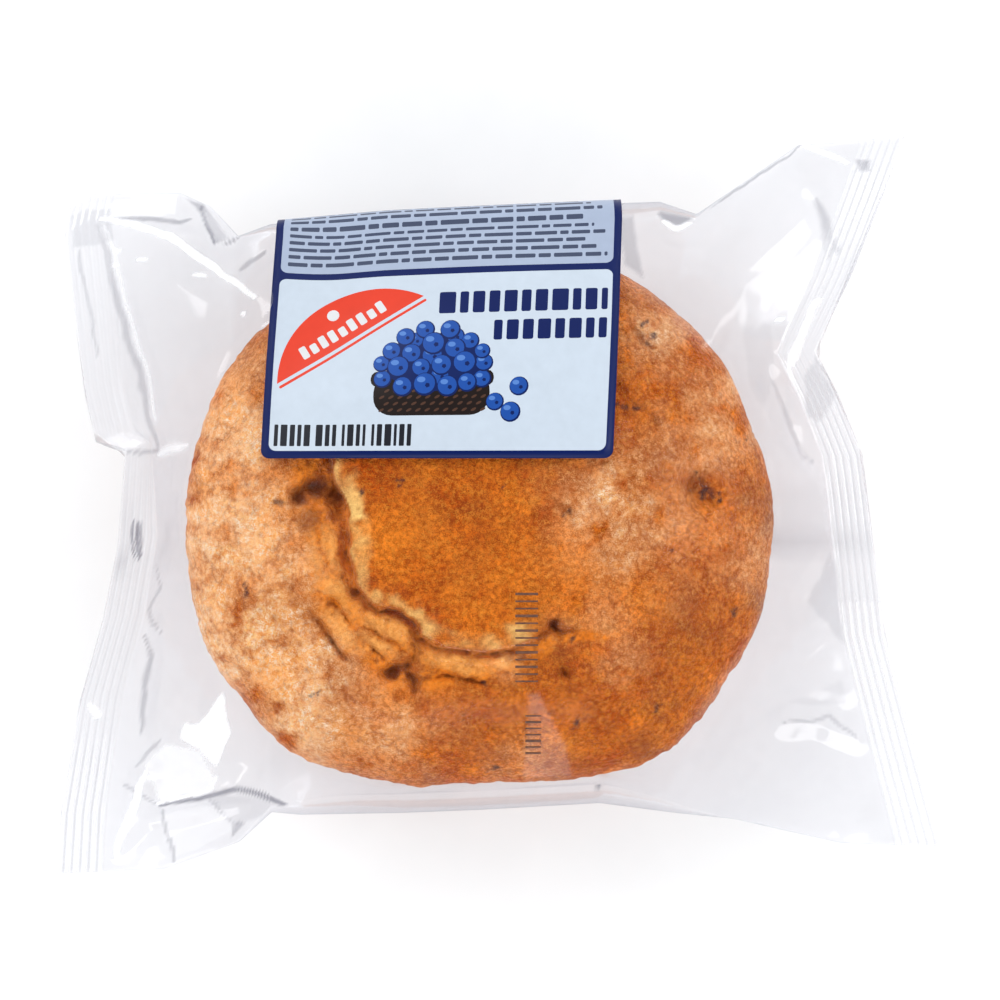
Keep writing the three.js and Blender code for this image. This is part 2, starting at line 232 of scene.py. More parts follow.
FLOOR_HALF = 1.5
floor_mesh = bpy.data.meshes.new("floor")
corners = [(-1, -1), (1, -1), (1, 1), (-1, 1)]
floor_mesh.from_pydata([(FLOOR_HALF * x, FLOOR_HALF * y, 0) for x, y in corners], [], [(0, 1, 2, 3)])
floor = bpy.data.objects.new("floor", floor_mesh)
scene.collection.objects.link(floor)
print(len(PANELS), "light panels, and the camera is", CAMERA_HEIGHT, "m above the floor")

# %% [markdown]
# Materials are made of nodes
#
# A small helper adds a node and sets its inputs. Effects of the surface are node groups, which any finish
# can place with its own values: a grain that breaks up a colour, and the fine cracks of a baked skin.

# %% Node helpers and shared groups
def new_material(name):
    material = bpy.data.materials.new(name)
    material.use_nodes = True
    material.node_tree.nodes.clear()
    return material, material.node_tree


def add_node(tree, kind, inputs=None, **settings):
    """A node with its settings, and with inputs that are values or other nodes' outputs."""
    node = tree.nodes.new(kind)
    for key, value in settings.items():
        setattr(node, key, value)
    for key, value in (inputs or {}).items():
        if isinstance(value, bpy.types.NodeSocket):
            tree.links.new(value, node.inputs[key])
        else:
            node.inputs[key].default_value = value
    return node


def math_node(tree, operation, *values, clamp=False):
    return add_node(
        tree, "ShaderNodeMath", dict(enumerate(values)), operation=operation, use_clamp=clamp
    ).outputs[0]


def mix_color(tree, factor, a, b):
    return add_node(tree, "ShaderNodeMix", {0: factor, 6: a, 7: b}, data_type="RGBA").outputs[2]


def attribute(tree, name):
    return add_node(tree, "ShaderNodeAttribute", attribute_name=name).outputs["Fac"]


def map_range(tree, value, from_min, from_max, to_min=0.0, to_max=1.0):
    values = {0: value, 1: from_min, 2: from_max, 3: to_min, 4: to_max}
    return add_node(tree, "ShaderNodeMapRange", values).outputs[0]


def noise(tree, scale, detail, place=None):
    """A noise texture over the piece's own places. Its value comes first, and its colour second."""
    place = place or add_node(tree, "ShaderNodeTexCoord").outputs["Object"]
    return add_node(tree, "ShaderNodeTexNoise", {"Vector": place, "Scale": scale, "Detail": detail}).outputs


def begin_group(name, inputs):
    """A node group with named inputs and one mask, its given values, and places on the piece."""
    group = bpy.data.node_groups.new(name, "ShaderNodeTree")
    for key, default in inputs.items():
        socket = group.interface.new_socket(key, in_out="INPUT", socket_type="NodeSocketFloat")
        socket.default_value = default
    group.interface.new_socket("Mask", in_out="OUTPUT", socket_type="NodeSocketFloat")
    given = group.nodes.new("NodeGroupInput").outputs
    return group, given, add_node(group, "ShaderNodeTexCoord").outputs["Object"]


def end_group(group, mask):
    result = group.nodes.new("NodeGroupOutput")
    group.links.new(mask, result.inputs["Mask"])
    return group


def group_mask(tree, group, values):
    return add_node(tree, "ShaderNodeGroup", values, node_tree=group).outputs["Mask"]


FINER = 3.7


def grain_group():
    """Noise of two sizes as a mask about 0 to 1."""
    inputs = {"Scale": 500.0, "Fine Share": 0.5, "Low": 0.35, "High": 0.65}
    group, given, place = begin_group("grain", inputs)
    coarse = noise(group, given["Scale"], 3.0, place)[0]
    fine = noise(group, math_node(group, "MULTIPLY", given["Scale"], FINER), 2.0, place)[0]
    shares = {0: given["Fine Share"], 2: coarse, 3: fine}
    both = add_node(group, "ShaderNodeMix", shares, data_type="FLOAT").outputs[0]
    return end_group(group, map_range(group, both, given["Low"], given["High"]))


GRAIN = grain_group()


def grain(tree, scale, fine_share=0.5, low=0.35, high=0.65):
    values = {"Scale": scale, "Fine Share": fine_share, "Low": low, "High": high}
    return group_mask(tree, GRAIN, values)


CRACK_WANDER = 420.0
CRACK_STRAY = (0.006, 0.006, 0.0)
CRACK_GAPS = (0.44, 0.56)


def crack_group():
    """Thin broken lines that wander like wrinkles in a baked skin, as a mask about 0 to 1."""
    group, given, place = begin_group("fine_cracks", {"Scale": 200.0, "Width": 0.06})
    wander = noise(group, CRACK_WANDER, 2.0, place)
    push = add_node(group, "ShaderNodeVectorMath", {0: wander[1], 1: CRACK_STRAY}, operation="MULTIPLY")
    moved = add_node(group, "ShaderNodeVectorMath", {0: place, 1: push.outputs[0]}, operation="ADD")
    cell_inputs = {"Vector": moved.outputs[0], "Scale": given["Scale"]}
    cells = add_node(group, "ShaderNodeTexVoronoi", cell_inputs, feature="DISTANCE_TO_EDGE")
    thin = map_range(group, cells.outputs["Distance"], 0.0, given["Width"], 1.0, 0.0)
    gaps = map_range(group, wander[0], *CRACK_GAPS)
    return end_group(group, math_node(group, "MULTIPLY", thin, gaps, clamp=True))


FINE_CRACKS = crack_group()


def fine_cracks(tree, scale, width):
    return group_mask(tree, FINE_CRACKS, {"Scale": scale, "Width": width})


def finish_material(material, tree, shader):
    output = add_node(tree, "ShaderNodeOutputMaterial")
    tree.links.new(shader, output.inputs["Surface"])
    return material


FLOOR_TONES = (0.60, 0.60, 0.60, 1), (0.63, 0.63, 0.63, 1)
FLOOR_GLOW_TONE = (0.97, 0.98, 1.0, 1)
FLOOR_GLOW = 0.30


def floor_finish():
    material, tree = new_material("white_floor")
    tone = mix_color(tree, grain(tree, 30.0, 0.3), *FLOOR_TONES)
    inputs = {"Base Color": tone, "Roughness": 0.9}
    inputs.update({"Emission Color": FLOOR_GLOW_TONE, "Emission Strength": FLOOR_GLOW})
    shader = add_node(tree, "ShaderNodeBsdfPrincipled", inputs)
    return finish_material(material, tree, shader.outputs[0])


floor.data.materials.append(floor_finish())
print("shared groups:", GRAIN.name, "and", FINE_CRACKS.name)

# %% [markdown]
# The muffin's form
#
# A muffin rises out of its tin as a dome, widest at the tin's rim, and its tapered side is as the tin
# left it. Its front is pressed a little flat. The crown's top is a plate of browned crust whose lower
# left edge tore as the inside burst out. The dome is a rounded profile over the distance from the middle,
# and everything else on it is relief that is added along the surface.

# %% Sizes of the muffin, in millimetres
MUFFIN_PLACE = (-3.8, -4.5)
CROWN_RADIUS = 53.4
FRONT_FLAT = 46.5
WAIST_HEIGHT = 22.0
CROWN_HEIGHT = 45.0
BASE_RADIUS = 38.4
BASE_LIFT = 0.5
FLAT_CORNER = 14
DOME_SHOULDER = 2.5
DOME_ROUND = 1.9
TINY = 1e-6


def crown_radius(x, y):
    """The muffin's radius in the direction of x, y from its middle."""
    forward = np.maximum(TINY, -y / np.maximum(TINY, np.hypot(x, y)))
    flat = (FRONT_FLAT / forward) ** -FLAT_CORNER
    radius = (CROWN_RADIUS**-FLAT_CORNER + flat) ** (-1 / FLAT_CORNER)
    turn = np.arctan2(y, x)
    wobble = 0.35 * np.sin(3 * turn + 0.6) + 0.3 * np.sin(7 * turn + 2) + 0.2 * np.sin(13 * turn)
    return radius + wobble


def dome_height(share, top=CROWN_HEIGHT):
    """A dome's height at a share of the way from its middle to its rim."""
    inside = np.clip(1 - np.clip(share, 0, 1) ** DOME_SHOULDER, 0, 1)
    return WAIST_HEIGHT + (top - WAIST_HEIGHT) * inside ** (1 / DOME_ROUND)


print("the crown is", 2 * CROWN_RADIUS, "mm across and", CROWN_HEIGHT, "mm high")


# %% [markdown]
# The torn crust
#
# The torn edge is drawn as one line from the label down and round to the right. To its left and below
# lies the burst: deep pits close under the edge, lumps of crumb, and an outer crack where the crust
# opened. The lines below were placed from the look of the real one.

# %% Lines and spots of the torn crust, in millimetres
TORN_EDGE = [
    (-28.7, 14.0), (-29.2, 9.0), (-29.3, 6.2), (-28.2, 2.7), (-26.9, 0.9), (-26.4, -1.3), (-26.9, -3.1),
    (-26.6, -4.9), (-26.0, -6.6), (-26.0, -8.9), (-25.5, -11.5), (-25.3, -13.3), (-24.2, -15.5),
    (-22.4, -17.3), (-21.1, -18.2), (-19.8, -17.9), (-17.6, -18.6), (-15.3, -19.9), (-14.2, -21.3),
    (-13.8, -22.9), (-12.2, -23.9), (-10.0, -24.8), (-6.9, -25.3), (-4.7, -25.9), (-1.2, -25.5),
    (2.3, -24.8), (5.0, -23.8), (8.2, -22.0), (9.7, -21.3), (11.9, -22.0), (14.5, -22.1), (18.0, -22.6),
]
# Along the edge: the share of its length, the depth of the burst there and its width
BURST = [
    (0.00, 2.4, 4.0), (0.07, 4.6, 8.5), (0.15, 4.8, 9.0), (0.22, 3.6, 8.5), (0.32, 3.2, 8.5),
    (0.42, 3.2, 11.0), (0.50, 3.6, 12.5), (0.58, 4.2, 12.5), (0.64, 3.6, 9.0), (0.72, 2.6, 6.5),
    (0.79, 2.0, 5.5), (0.86, 1.1, 4.0), (0.93, 1.6, 2.6), (1.00, 0.3, 2.0),
]
# Cracks: their points, then depth, width and the strength of the shade painted in them
CRACKS = [
    ([(-33.9, -17.3), (-32.6, -19.5), (-30.4, -22.6), (-28.6, -25.7), (-25.5, -28.4)], 1.5, 1.1, 0.55),
    ([(-36.6, 0.9), (-35.7, 2.2), (-33.9, 3.1), (-31.7, 2.0), (-29.3, 1.8)], 1.8, 2.2, 0.75),
    ([(-21.1, -30.1), (-19.3, -28.8), (-16.7, -28.4), (-14.9, -31.5), (-14.7, -33.6)], 2.0, 2.2, 0.75),
    ([(-14.0, -30.8), (-10.5, -30.4), (-7.8, -30.8), (-2.0, -31.5), (0.8, -30.2)], 1.0, 0.9, 0.4),
    ([(-14.2, -23.0), (-14.6, -25.7), (-15.3, -27.9)], 1.4, 1.8, 0.4),
    ([(-28.6, -13.3), (-26.0, -15.5), (-23.8, -17.6), (-21.1, -18.9)], 1.1, 1.8, 0.3),
    ([(9.9, -21.2), (11.4, -21.9), (13.9, -22.3)], 1.0, 1.3, 0.6),
    ([(10.4, -27.5), (11.3, -29.3), (12.6, -31.0)], 1.2, 1.6, 0.6),
    ([(24.9, 18.5), (27.5, 15.2), (29.0, 13.2)], 1.0, 1.4, 0.4),
    ([(23.5, 32.5), (25.5, 30.0), (27.6, 27.4)], 0.9, 1.2, 0.5),
    ([(9.2, 1.8), (11.5, -0.6), (13.6, -3.4)], 0.8, 1.0, 0.35),
    ([(-38.5, -9.5), (-37.0, -15.0), (-34.0, -20.0)], 0.8, 2.0, 0.25),
    ([(22.0, -17.5), (27.0, -19.0), (31.5, -21.5)], 0.7, 1.4, 0.2),
    ([(-33.2, -8.6), (-32.0, -11.0), (-30.5, -13.0)], 0.8, 1.4, 0.25),
    ([(-24.6, -19.4), (-21.8, -21.6), (-19.6, -24.0)], 0.8, 1.0, 0.25),
    ([(-26.4, -21.8), (-23.6, -23.8), (-20.2, -27.0)], 0.8, 1.0, 0.25),
    ([(-31.2, -17.0), (-28.4, -19.0), (-26.0, -21.0)], 0.7, 1.0, 0.2),
    ([(-8.8, -27.6), (-5.6, -28.6), (-2.6, -28.4)], 0.6, 0.8, 0.2),
    ([(15.0, 7.0), (16.5, 1.0), (19.5, -5.0), (21.0, -12.0)], 0.8, 2.4, 0.1),
    ([(21.5, 9.0), (23.5, 2.0), (24.0, -6.0)], 0.7, 2.2, 0.1),
    ([(28.5, 8.0), (29.5, 0.0), (32.0, -8.0)], 0.8, 2.6, 0.12),
    ([(18.0, 24.0), (21.5, 20.0), (23.0, 14.0)], 0.7, 2.2, 0.12),
    ([(-41.0, -16.0), (-38.5, -24.0), (-33.0, -30.0)], 0.7, 2.4, 0.1),
    ([(2.0, -34.5), (8.0, -36.5), (15.0, -35.0)], 0.6, 2.2, 0.1),
    ([(-9.0, -37.0), (-2.0, -39.0), (5.0, -42.0)], 0.6, 2.4, 0.1),
    ([(-42.0, 6.0), (-40.0, 12.0), (-36.0, 18.0)], 0.6, 2.4, 0.1),
    ([(33.5, 4.5), (35.5, 1.5), (38.0, 0.2), (40.0, 1.0)], 1.0, 2.2, 0.4),
    ([(16.0, -5.0), (19.5, -9.5), (20.5, -14.0)], 0.7, 1.6, 0.15),
]
# Rolls of crumb that swelled out of the burst: their points, then height and half width
ROLLS = [
    ([(-24.2, -18.6), (-21.1, -20.4), (-18.0, -22.2), (-15.4, -23.9)], 1.6, 2.0),
    ([(-32.2, -18.6), (-29.5, -20.8), (-27.3, -23.0), (-24.2, -25.7)], 1.2, 2.2),
    ([(-13.1, -25.7), (-9.6, -27.2), (-6.0, -28.3), (-1.6, -28.3)], 1.5, 2.2),
    ([(-34.4, -4.9), (-33.5, -9.3), (-33.1, -13.3)], 0.9, 2.2),
    ([(-31.3, -13.3), (-28.2, -15.1), (-25.9, -18.2)], 1.2, 1.9), ([(-0.7, -27.0), (2.4, -28.0)], 0.9, 1.9),
    ([(-24.2, -22.6), (-21.1, -24.8), (-18.9, -26.2)], 1.2, 1.2),
    ([(-29.8, -4.5), (-29.6, -8.5), (-28.8, -11.5)], 1.0, 1.5),
]
# Pits and dents: x, y, radius, depth and the strength of the shade painted in them
PITS = [
    (-35.3, 0.9, 2.2, 2.2, 0.9), (-32.0, 3.1, 3.4, 1.6, 0.75), (-29.0, 1.4, 3.0, 1.2, 0.75),
    (-33.6, -2.6, 3.8, 1.0, 0.6), (-28.8, -1.6, 2.4, 1.2, 0.6), (-18.9, -29.6, 2.6, 2.0, 0.8),
    (9.9, -21.2, 1.5, 2.8, 1.0), (36.0, 3.0, 4.2, 2.2, 0.35), (34.2, 4.4, 2.0, 1.2, 0.4),
    (41.5, -18.5, 1.8, 0.8, 0.3), (-0.5, -6.0, 2.2, 0.7, 0.2), (-38.7, 0.4, 1.2, 0.9, 0.5),
    (24.0, 17.8, 2.0, 0.9, 0.3), (2.0, -33.0, 2.2, 0.8, 0.2), (17.0, -36.0, 1.8, 0.6, 0.2),
    (28.0, -30.0, 2.4, 0.6, 0.2), (19.6, -16.6, 0.9, 0.7, 0.3), (-17.6, 4.4, 1.4, 0.5, 0.2),
    (-11.5, -12.0, 1.0, 0.4, 0.2), (11.6, -29.6, 1.6, 1.0, 0.4), (-14.7, -33.0, 1.4, 1.0, 0.5),
]
# The torn crust as the film shows it: points of the torn edge, then the burst's width and depth there
FILM_TEAR = [
    (-29.4, 6.0, 6, 1.3), (-27.4, 1.6, 8, 3.4), (-26.6, -4.0, 8, 2.8), (-25.7, -11.5, 9, 2.2),
    (-23.4, -16.6, 11, 2.2), (-18.2, -18.4, 12, 2.6), (-14.2, -21.9, 12, 3.2), (-9.8, -24.9, 9, 2.2),
    (-3.2, -25.8, 8, 1.7), (4.6, -24.2, 6, 1.2), (12.0, -21.5, 4, 0.8),
]
FILM_DENTS = [
    (-32.5, 0.5, 4, 2.6), (-17.5, -31.5, 5, 1.8), (36.5, 3.2, 4.5, 1.6), (10.5, -22.4, 3, 1.5),
    (24.0, 12.0, 4, 1.0),
]
# Dark fruit skins that show through the crust: x, y, radius
BERRIES = [
    (36.6, 3.0, 1.5), (38.8, 2.0, 0.8), (25.8, 32.2, 0.9), (27.4, 29.6, 0.8), (22.6, 17.6, 1.0),
    (24.6, 18.0, 0.8), (12.2, -1.6, 0.6), (-24.0, 1.9, 0.7), (41.6, -18.8, 0.9), (-38.6, 0.6, 0.8),
    (1.0, 2.8, 0.6), (13.7, -38.3, 0.8), (-0.5, -47.0, 1.1), (-17.4, 4.2, 0.6), (28.0, -36.0, 0.7),
    (13.4, -24.0, 0.7), (-3.0, -31.8, 0.5), (34.8, 5.4, 0.6), (-45.4, -15.0, 0.9), (-31.5, -33.5, 0.6),
    (31.0, -8.0, 0.4), (-6.0, -38.0, 0.5), (44.0, 12.0, 0.6), (-33.0, -34.0, 0.5),
]
# Where the crust is sugary and pale with a painted sheen, where it glows, and where it is darker crust or
# painted shade: x, y, radius, strength
SUGAR_AND_SHEEN_PLACES = [
    (-49.0, -6.0, 15.0, 1.0), (-44.0, -22.0, 14.0, 1.0), (-34.0, -34.0, 13.0, 0.85),
    (-22.0, -40.0, 9.0, 0.55), (-37.0, -12.0, 7.0, 0.8), (-29.0, -25.0, 5.0, 0.9), (21.7, -1.7, 9.0, 0.8),
    (29.0, -11.0, 9.0, 0.15), (46.0, -8.0, 8.0, 0.35), (41.0, 17.0, 10.0, 0.45), (30.0, 31.0, 8.0, 0.5),
    (-48.0, 12.0, 12.0, 0.8), (-38.0, 20.0, 9.0, 0.6), (18.0, -19.0, 6.0, 0.25), (-12.0, -37.0, 8.0, 0.1),
    (21.7, -27.9, 5.0, 0.3), (1.2, -27.2, 3.0, 0.7), (33.0, 12.0, 7.0, 0.4), (4.0, -47.0, 6.0, 0.2),
]
GLOW_PLACES = [
    (-6.0, -18.0, 8.0, 0.9), (-19.5, -4.5, 6.0, 0.8), (2.0, -20.0, 6.0, 0.7), (-20.0, -36.0, 8.0, 0.5),
    (-36.0, 4.0, 8.0, 0.6), (-40.0, -12.0, 8.0, 0.5), (14.0, -12.0, 7.0, 0.5), (-8.0, -33.0, 6.0, 0.5),
    (-33.0, -28.0, 6.0, 0.4), (12.0, -38.0, 8.0, 0.4), (-53.0, 3.0, 5.0, 0.9), (-47.0, -15.0, 4.0, 0.9),
    (-41.0, -31.0, 5.0, 0.9), (-28.0, -39.0, 5.0, 0.9), (-36.0, -20.0, 5.0, 0.8), (-50.0, 18.0, 6.0, 0.8),
    (-39.0, -3.0, 4.0, 0.8), (24.0, 3.0, 4.0, 0.6), (26.0, -14.0, 5.0, 0.6),
]
# Along the right and front rim these places are painted shade, where the light falls off
DARK_CRUST_AND_SHADE_PLACES = [
    (-12.4, 6.3, 6.0, 0.3), (-7.0, -1.0, 9.0, 0.32), (-5.2, -9.9, 4.0, 0.2), (32.5, -24.2, 8.0, 0.5),
    (43.2, 2.0, 7.0, 0.4), (34.0, -36.0, 9.0, 0.55), (-0.7, -43.0, 5.0, 0.45), (10.9, -26.5, 3.0, 0.3),
    (-16.0, -44.5, 5.0, 0.3), (12.0, 6.0, 6.0, 0.25), (24.0, 24.0, 7.0, 0.3), (-30.5, -45.0, 4.0, 0.25),
    (30.0, 6.0, 5.0, 0.3), (36.5, 3.2, 4.0, 0.5), (49.0, -2.0, 5.0, 0.6), (47.0, -18.0, 5.0, 0.6),
    (40.0, -33.0, 6.0, 0.6), (27.0, -44.0, 5.0, 0.5), (8.0, -51.0, 5.0, 0.6), (-10.0, -52.0, 5.0, 0.5),
    (48.0, 14.0, 5.0, 0.4), (41.0, 30.0, 5.0, 0.35), (-27.0, -47.0, 4.0, 0.3),
]
print(len(CRACKS), "cracks,", len(PITS), "pits and", len(BERRIES), "dark skins on the crust")

# %% [markdown]
# Relief and masks
#
# Each place on the crown gets a height from the lines and spots above and from layers of noise: broad
# swells, lumps of crumb, open pores and the sugary grain of the crust. Masks say how pale, torn, berried or
# glossy the crust is there, and where shade and a sheen are painted into it, for the material to use.

# %% Soft spots, open pores, and what the film shows of the crust
def spread(x, y, cx, cy, radius):
    return np.exp(-((x - cx) ** 2 + (y - cy) ** 2) / (0.5 * radius**2))


PORE_TABLE = 64
PORE_STRAY = (0.2, 0.8)
PORE_SIZES = (0.12, 0.34)


def scattered_pores(x, y, seed, cell, share):
    """Round open pores on a jittered lattice: 1 in the middle of a pore and 0 outside."""
    random = np.random.default_rng(seed)
    table = (PORE_TABLE, PORE_TABLE)
    jitter_x, jitter_y = random.uniform(*PORE_STRAY, (2, *table))
    size = random.uniform(*PORE_SIZES, table) * (random.random(table) < share)
    i, j = np.floor(x / cell).astype(int), np.floor(y / cell).astype(int)
    near = np.zeros(np.shape(x))
    for di in (-1, 0, 1):
        for dj in (-1, 0, 1):
            a, b = (i + di) % PORE_TABLE, (j + dj) % PORE_TABLE
            dx = x / cell - i - di - jitter_x[a, b]
            dy = y / cell - j - dj - jitter_y[a, b]
            radius = np.maximum(size[a, b], 1e-4)
            near = np.maximum(near, np.clip(1 - np.hypot(dx, dy) / radius, 0, 1))
    return near


LIP_RISE = 0.9


def crown_field(x, y):
    """What the film shows of the torn crust under it."""
    away, side, along = near_line(x, y, FILM_TEAR)
    table = np.array(FILM_TEAR)
    _, starts = line_steps(table)
    width, depth = [np.interp(along * starts[-1], starts, table[:, k]) for k in (2, 3)]
    outward = -side * away
    lip = np.minimum(LIP_RISE, LIP_RISE * np.maximum(0, 1 + outward / width))
    burst = -depth * np.clip(1 - np.maximum(0, outward) / width, 0, 1) ** 1.3
    relief = lerp(lip, burst, ease(outward, -0.4, 3.4))
    for cx, cy, radius, dent in FILM_DENTS:
        relief = relief - dent * spread(x, y, cx, cy, radius)
    return relief


def broad_places(x, y, places):
    """A mask of soft round places, the strongest of them at each point."""
    spots = [strength * spread(x, y, cx, cy, 1.5 * radius) for cx, cy, radius, strength in places]
    return np.max(spots, axis=0)


# %% [markdown]
# The burst, its cracks, rolls and pits
#
# The burst falls away steeply just outside the torn edge and then rises gently. Where it is deep and
# narrow it is in shadow, and a mask of painted shade keeps that for the material, since film and noise
# soften what the light alone would show. Cracks and pits get painted shade in the same mask. Each crack
# is a groove with raised shoulders, and each roll a rounded ridge.

# %% Burst, cracks, rolls and pits
SHADOW_SHARE = 0.55
LIP_FADE = 3.0
STEEP_FADE = 1.8
SHADOW_FADE = 1.3
FULL_SHADOW_DEPTH = 4.5


def burst_relief(wx, wy):
    """The lip and the burst beyond it, with its mask, its painted shadow and the way over the torn edge."""
    away, side, along = near_line(wx, wy, TORN_EDGE)
    outward = -side * away
    shares, depths, widths = np.array(BURST).T
    depth = np.interp(along, shares, depths)
    width = np.interp(along, shares, widths)
    ends = ease(along, 0.0, 0.02) * (1 - ease(along, 0.985, 1.0))
    beyond = np.clip(outward / width, 0, 1)
    step = ease(outward, -0.15, 0.6)
    near_edge = np.exp(-np.maximum(outward, 0) / STEEP_FADE)
    slope = 0.55 * (1 - beyond) ** 1.1 + 0.45 * near_edge * (1 - beyond)
    burst = step * slope * depth
    lip = np.exp(-np.maximum(0, -outward) / LIP_FADE) * (1 - step) * LIP_RISE * ends
    relief = lip - burst * np.maximum(ends, step)
    in_burst = step * (1 - ease(outward, 0.65 * width, 1.05 * width))
    shadow = np.clip(depth / FULL_SHADOW_DEPTH, 0, 1)
    painted_shade = step * np.exp(-np.maximum(outward, 0) / SHADOW_FADE) * shadow * SHADOW_SHARE * ends
    painted_shade = painted_shade * (1 - 0.6 * ease(along, 0.16, 0.22) * (1 - ease(along, 0.40, 0.50)))
    return relief, in_burst, painted_shade, outward, along


def end_taper(share, margin, power):
    """1 along a line and falling to its two ends."""
    return np.clip(np.sin(np.pi * np.clip(share, margin, 1 - margin)), 0, 1) ** power


def add_cracks(relief, painted_shade, wx, wy):
    for points, depth, width, shade_strength in CRACKS:
        gap, _, share = near_line(wx, wy, points)
        taper = end_taper(share, 0.03, 0.6)
        cut = taper * np.exp(-((gap / (0.5 * width)) ** 2))
        relief = relief - depth * cut
        relief = relief + 0.25 * depth * taper * np.exp(-(((gap - 1.3 * width) / width) ** 2))
        # The crack's groove gets painted shade
        painted_shade = np.maximum(painted_shade, shade_strength * cut)
    return relief, painted_shade


def add_rolls(relief, wx, wy):
    roll = np.zeros_like(wx)
    for points, height, half in ROLLS:
        gap, _, share = near_line(wx, wy, points)
        swelling = end_taper(share, 0.06, 0.5) * np.sqrt(np.clip(1 - (gap / half) ** 2, 0, 1))
        relief, roll = relief + height * swelling, np.maximum(roll, swelling)
    return relief, roll


def add_pits(relief, painted_shade, wx, wy):
    for cx, cy, radius, depth, shade_strength in PITS:
        hole = spread(wx, wy, cx, cy, radius)
        # Each pit gets painted shade as well as its depth
        relief, painted_shade = relief - depth * hole, np.maximum(painted_shade, shade_strength * ease(hole, 0.1, 0.9))
    return relief, painted_shade


# %% [markdown]
# Tones of the crust
#
# The lip of the torn edge is pale, because it rose out of the heat of the crust. Sugar lies in broad
# patches on the shoulder, with a pale sheen of the lamps painted over the same patches. Dark places are
# darker crust, and along the right and front rim they are painted shade, where the light falls off. Noise
# breaks all of them up, so that no round spot shows.

# %% Masks of the pale lip, the sugar and its painted sheen, and the dark fruit
PATCHES = (5.0, 97, 4, 0.7)
DARK_CRUST_AND_SHADE_PATCHES = (11.0, 103, 3)
BERRY_RAGGED = 0.9
PAST_THE_BURST = 3


def pale_lip(x, y, outward, along):
    wide = 2.2 + 1.6 * np.abs(rough_noise(x, y, 6.0, 5, 2)) + 0.9 * spread(along, 0, 0.10, 0, 0.1) * 1.5
    inward = -outward + 0.8 * rough_noise(x, y, 1.6, 6)
    band = ease(-outward, -0.1, 0.35) * (1 - ease(inward, 0.35 * wide, 1.25 * wide))
    pale = band * ease(along, 0.02, 0.06) * (1 - 0.9 * ease(along, 0.80, 0.86))
    return np.clip(pale * (0.62 + 0.5 * rough_noise(x, y, 3.4, 95, 2)), 0, 1)


def tone_masks(x, y, wx, wy, outward):
    patchy = 0.9 + 0.8 * rough_noise(x, y, *PATCHES)
    sugar_and_sheen, glow, dark_crust_and_shade = [broad_places(wx, wy, p) for p in (SUGAR_AND_SHEEN_PLACES, GLOW_PLACES, DARK_CRUST_AND_SHADE_PLACES)]
    even = 0.85 * patchy + 0.15 + 0.12 * ease(-x, 15, 35)
    sugar_and_sheen = sugar_and_sheen * even * lerp(1.0, ease(outward, -0.5, 2.0), x < PAST_THE_BURST)
    dark_crust_and_shade = dark_crust_and_shade * patchy + 0.25 * rough_noise(x, y, *DARK_CRUST_AND_SHADE_PATCHES)
    masks = {"sugar_and_sheen": sugar_and_sheen, "glow": glow * patchy, "dark_crust_and_shade": dark_crust_and_shade}
    return {key: np.clip(mask, 0, 1) for key, mask in masks.items()}


def berry_mask(x, y, wx, wy):
    berry = np.zeros_like(x)
    ragged_x = wx + BERRY_RAGGED * rough_noise(x, y, 1.3, 51)
    ragged_y = wy + BERRY_RAGGED * rough_noise(x, y, 1.3, 57)
    for cx, cy, radius in BERRIES:
        blot = spread(ragged_x, ragged_y, cx, cy, 1.5 * radius)
        berry = np.maximum(berry, ease(blot, 0.15, 0.8))
    return berry


# %% The whole crust
# Each kind of noise: the size of its hills, its seed, its layers, and how much each layer keeps
SWELL = (16.0, 3, 2)
LUMPS = (4.6, 21, 3, 0.6)
CRUMB = (1.7, 31, 2, 0.7)
TORN_LUMPS = (3.2, 41, 4, 0.65)
# Each kind of pore: its seed, the size of its lattice and the share of cells that have one
PORES = (7, 2.4, 0.40)
SMALL_PORES = (8, 1.1, 0.5)
SMALL_PORE_SHIFT = (31, 17)
LINE_STRAY = 0.45
PORE_DEPTH = 0.34
SMALL_PORE_DEPTH = 0.14
CRUST_ROOM = 0.35
ROOM_SOFTNESS = 0.16


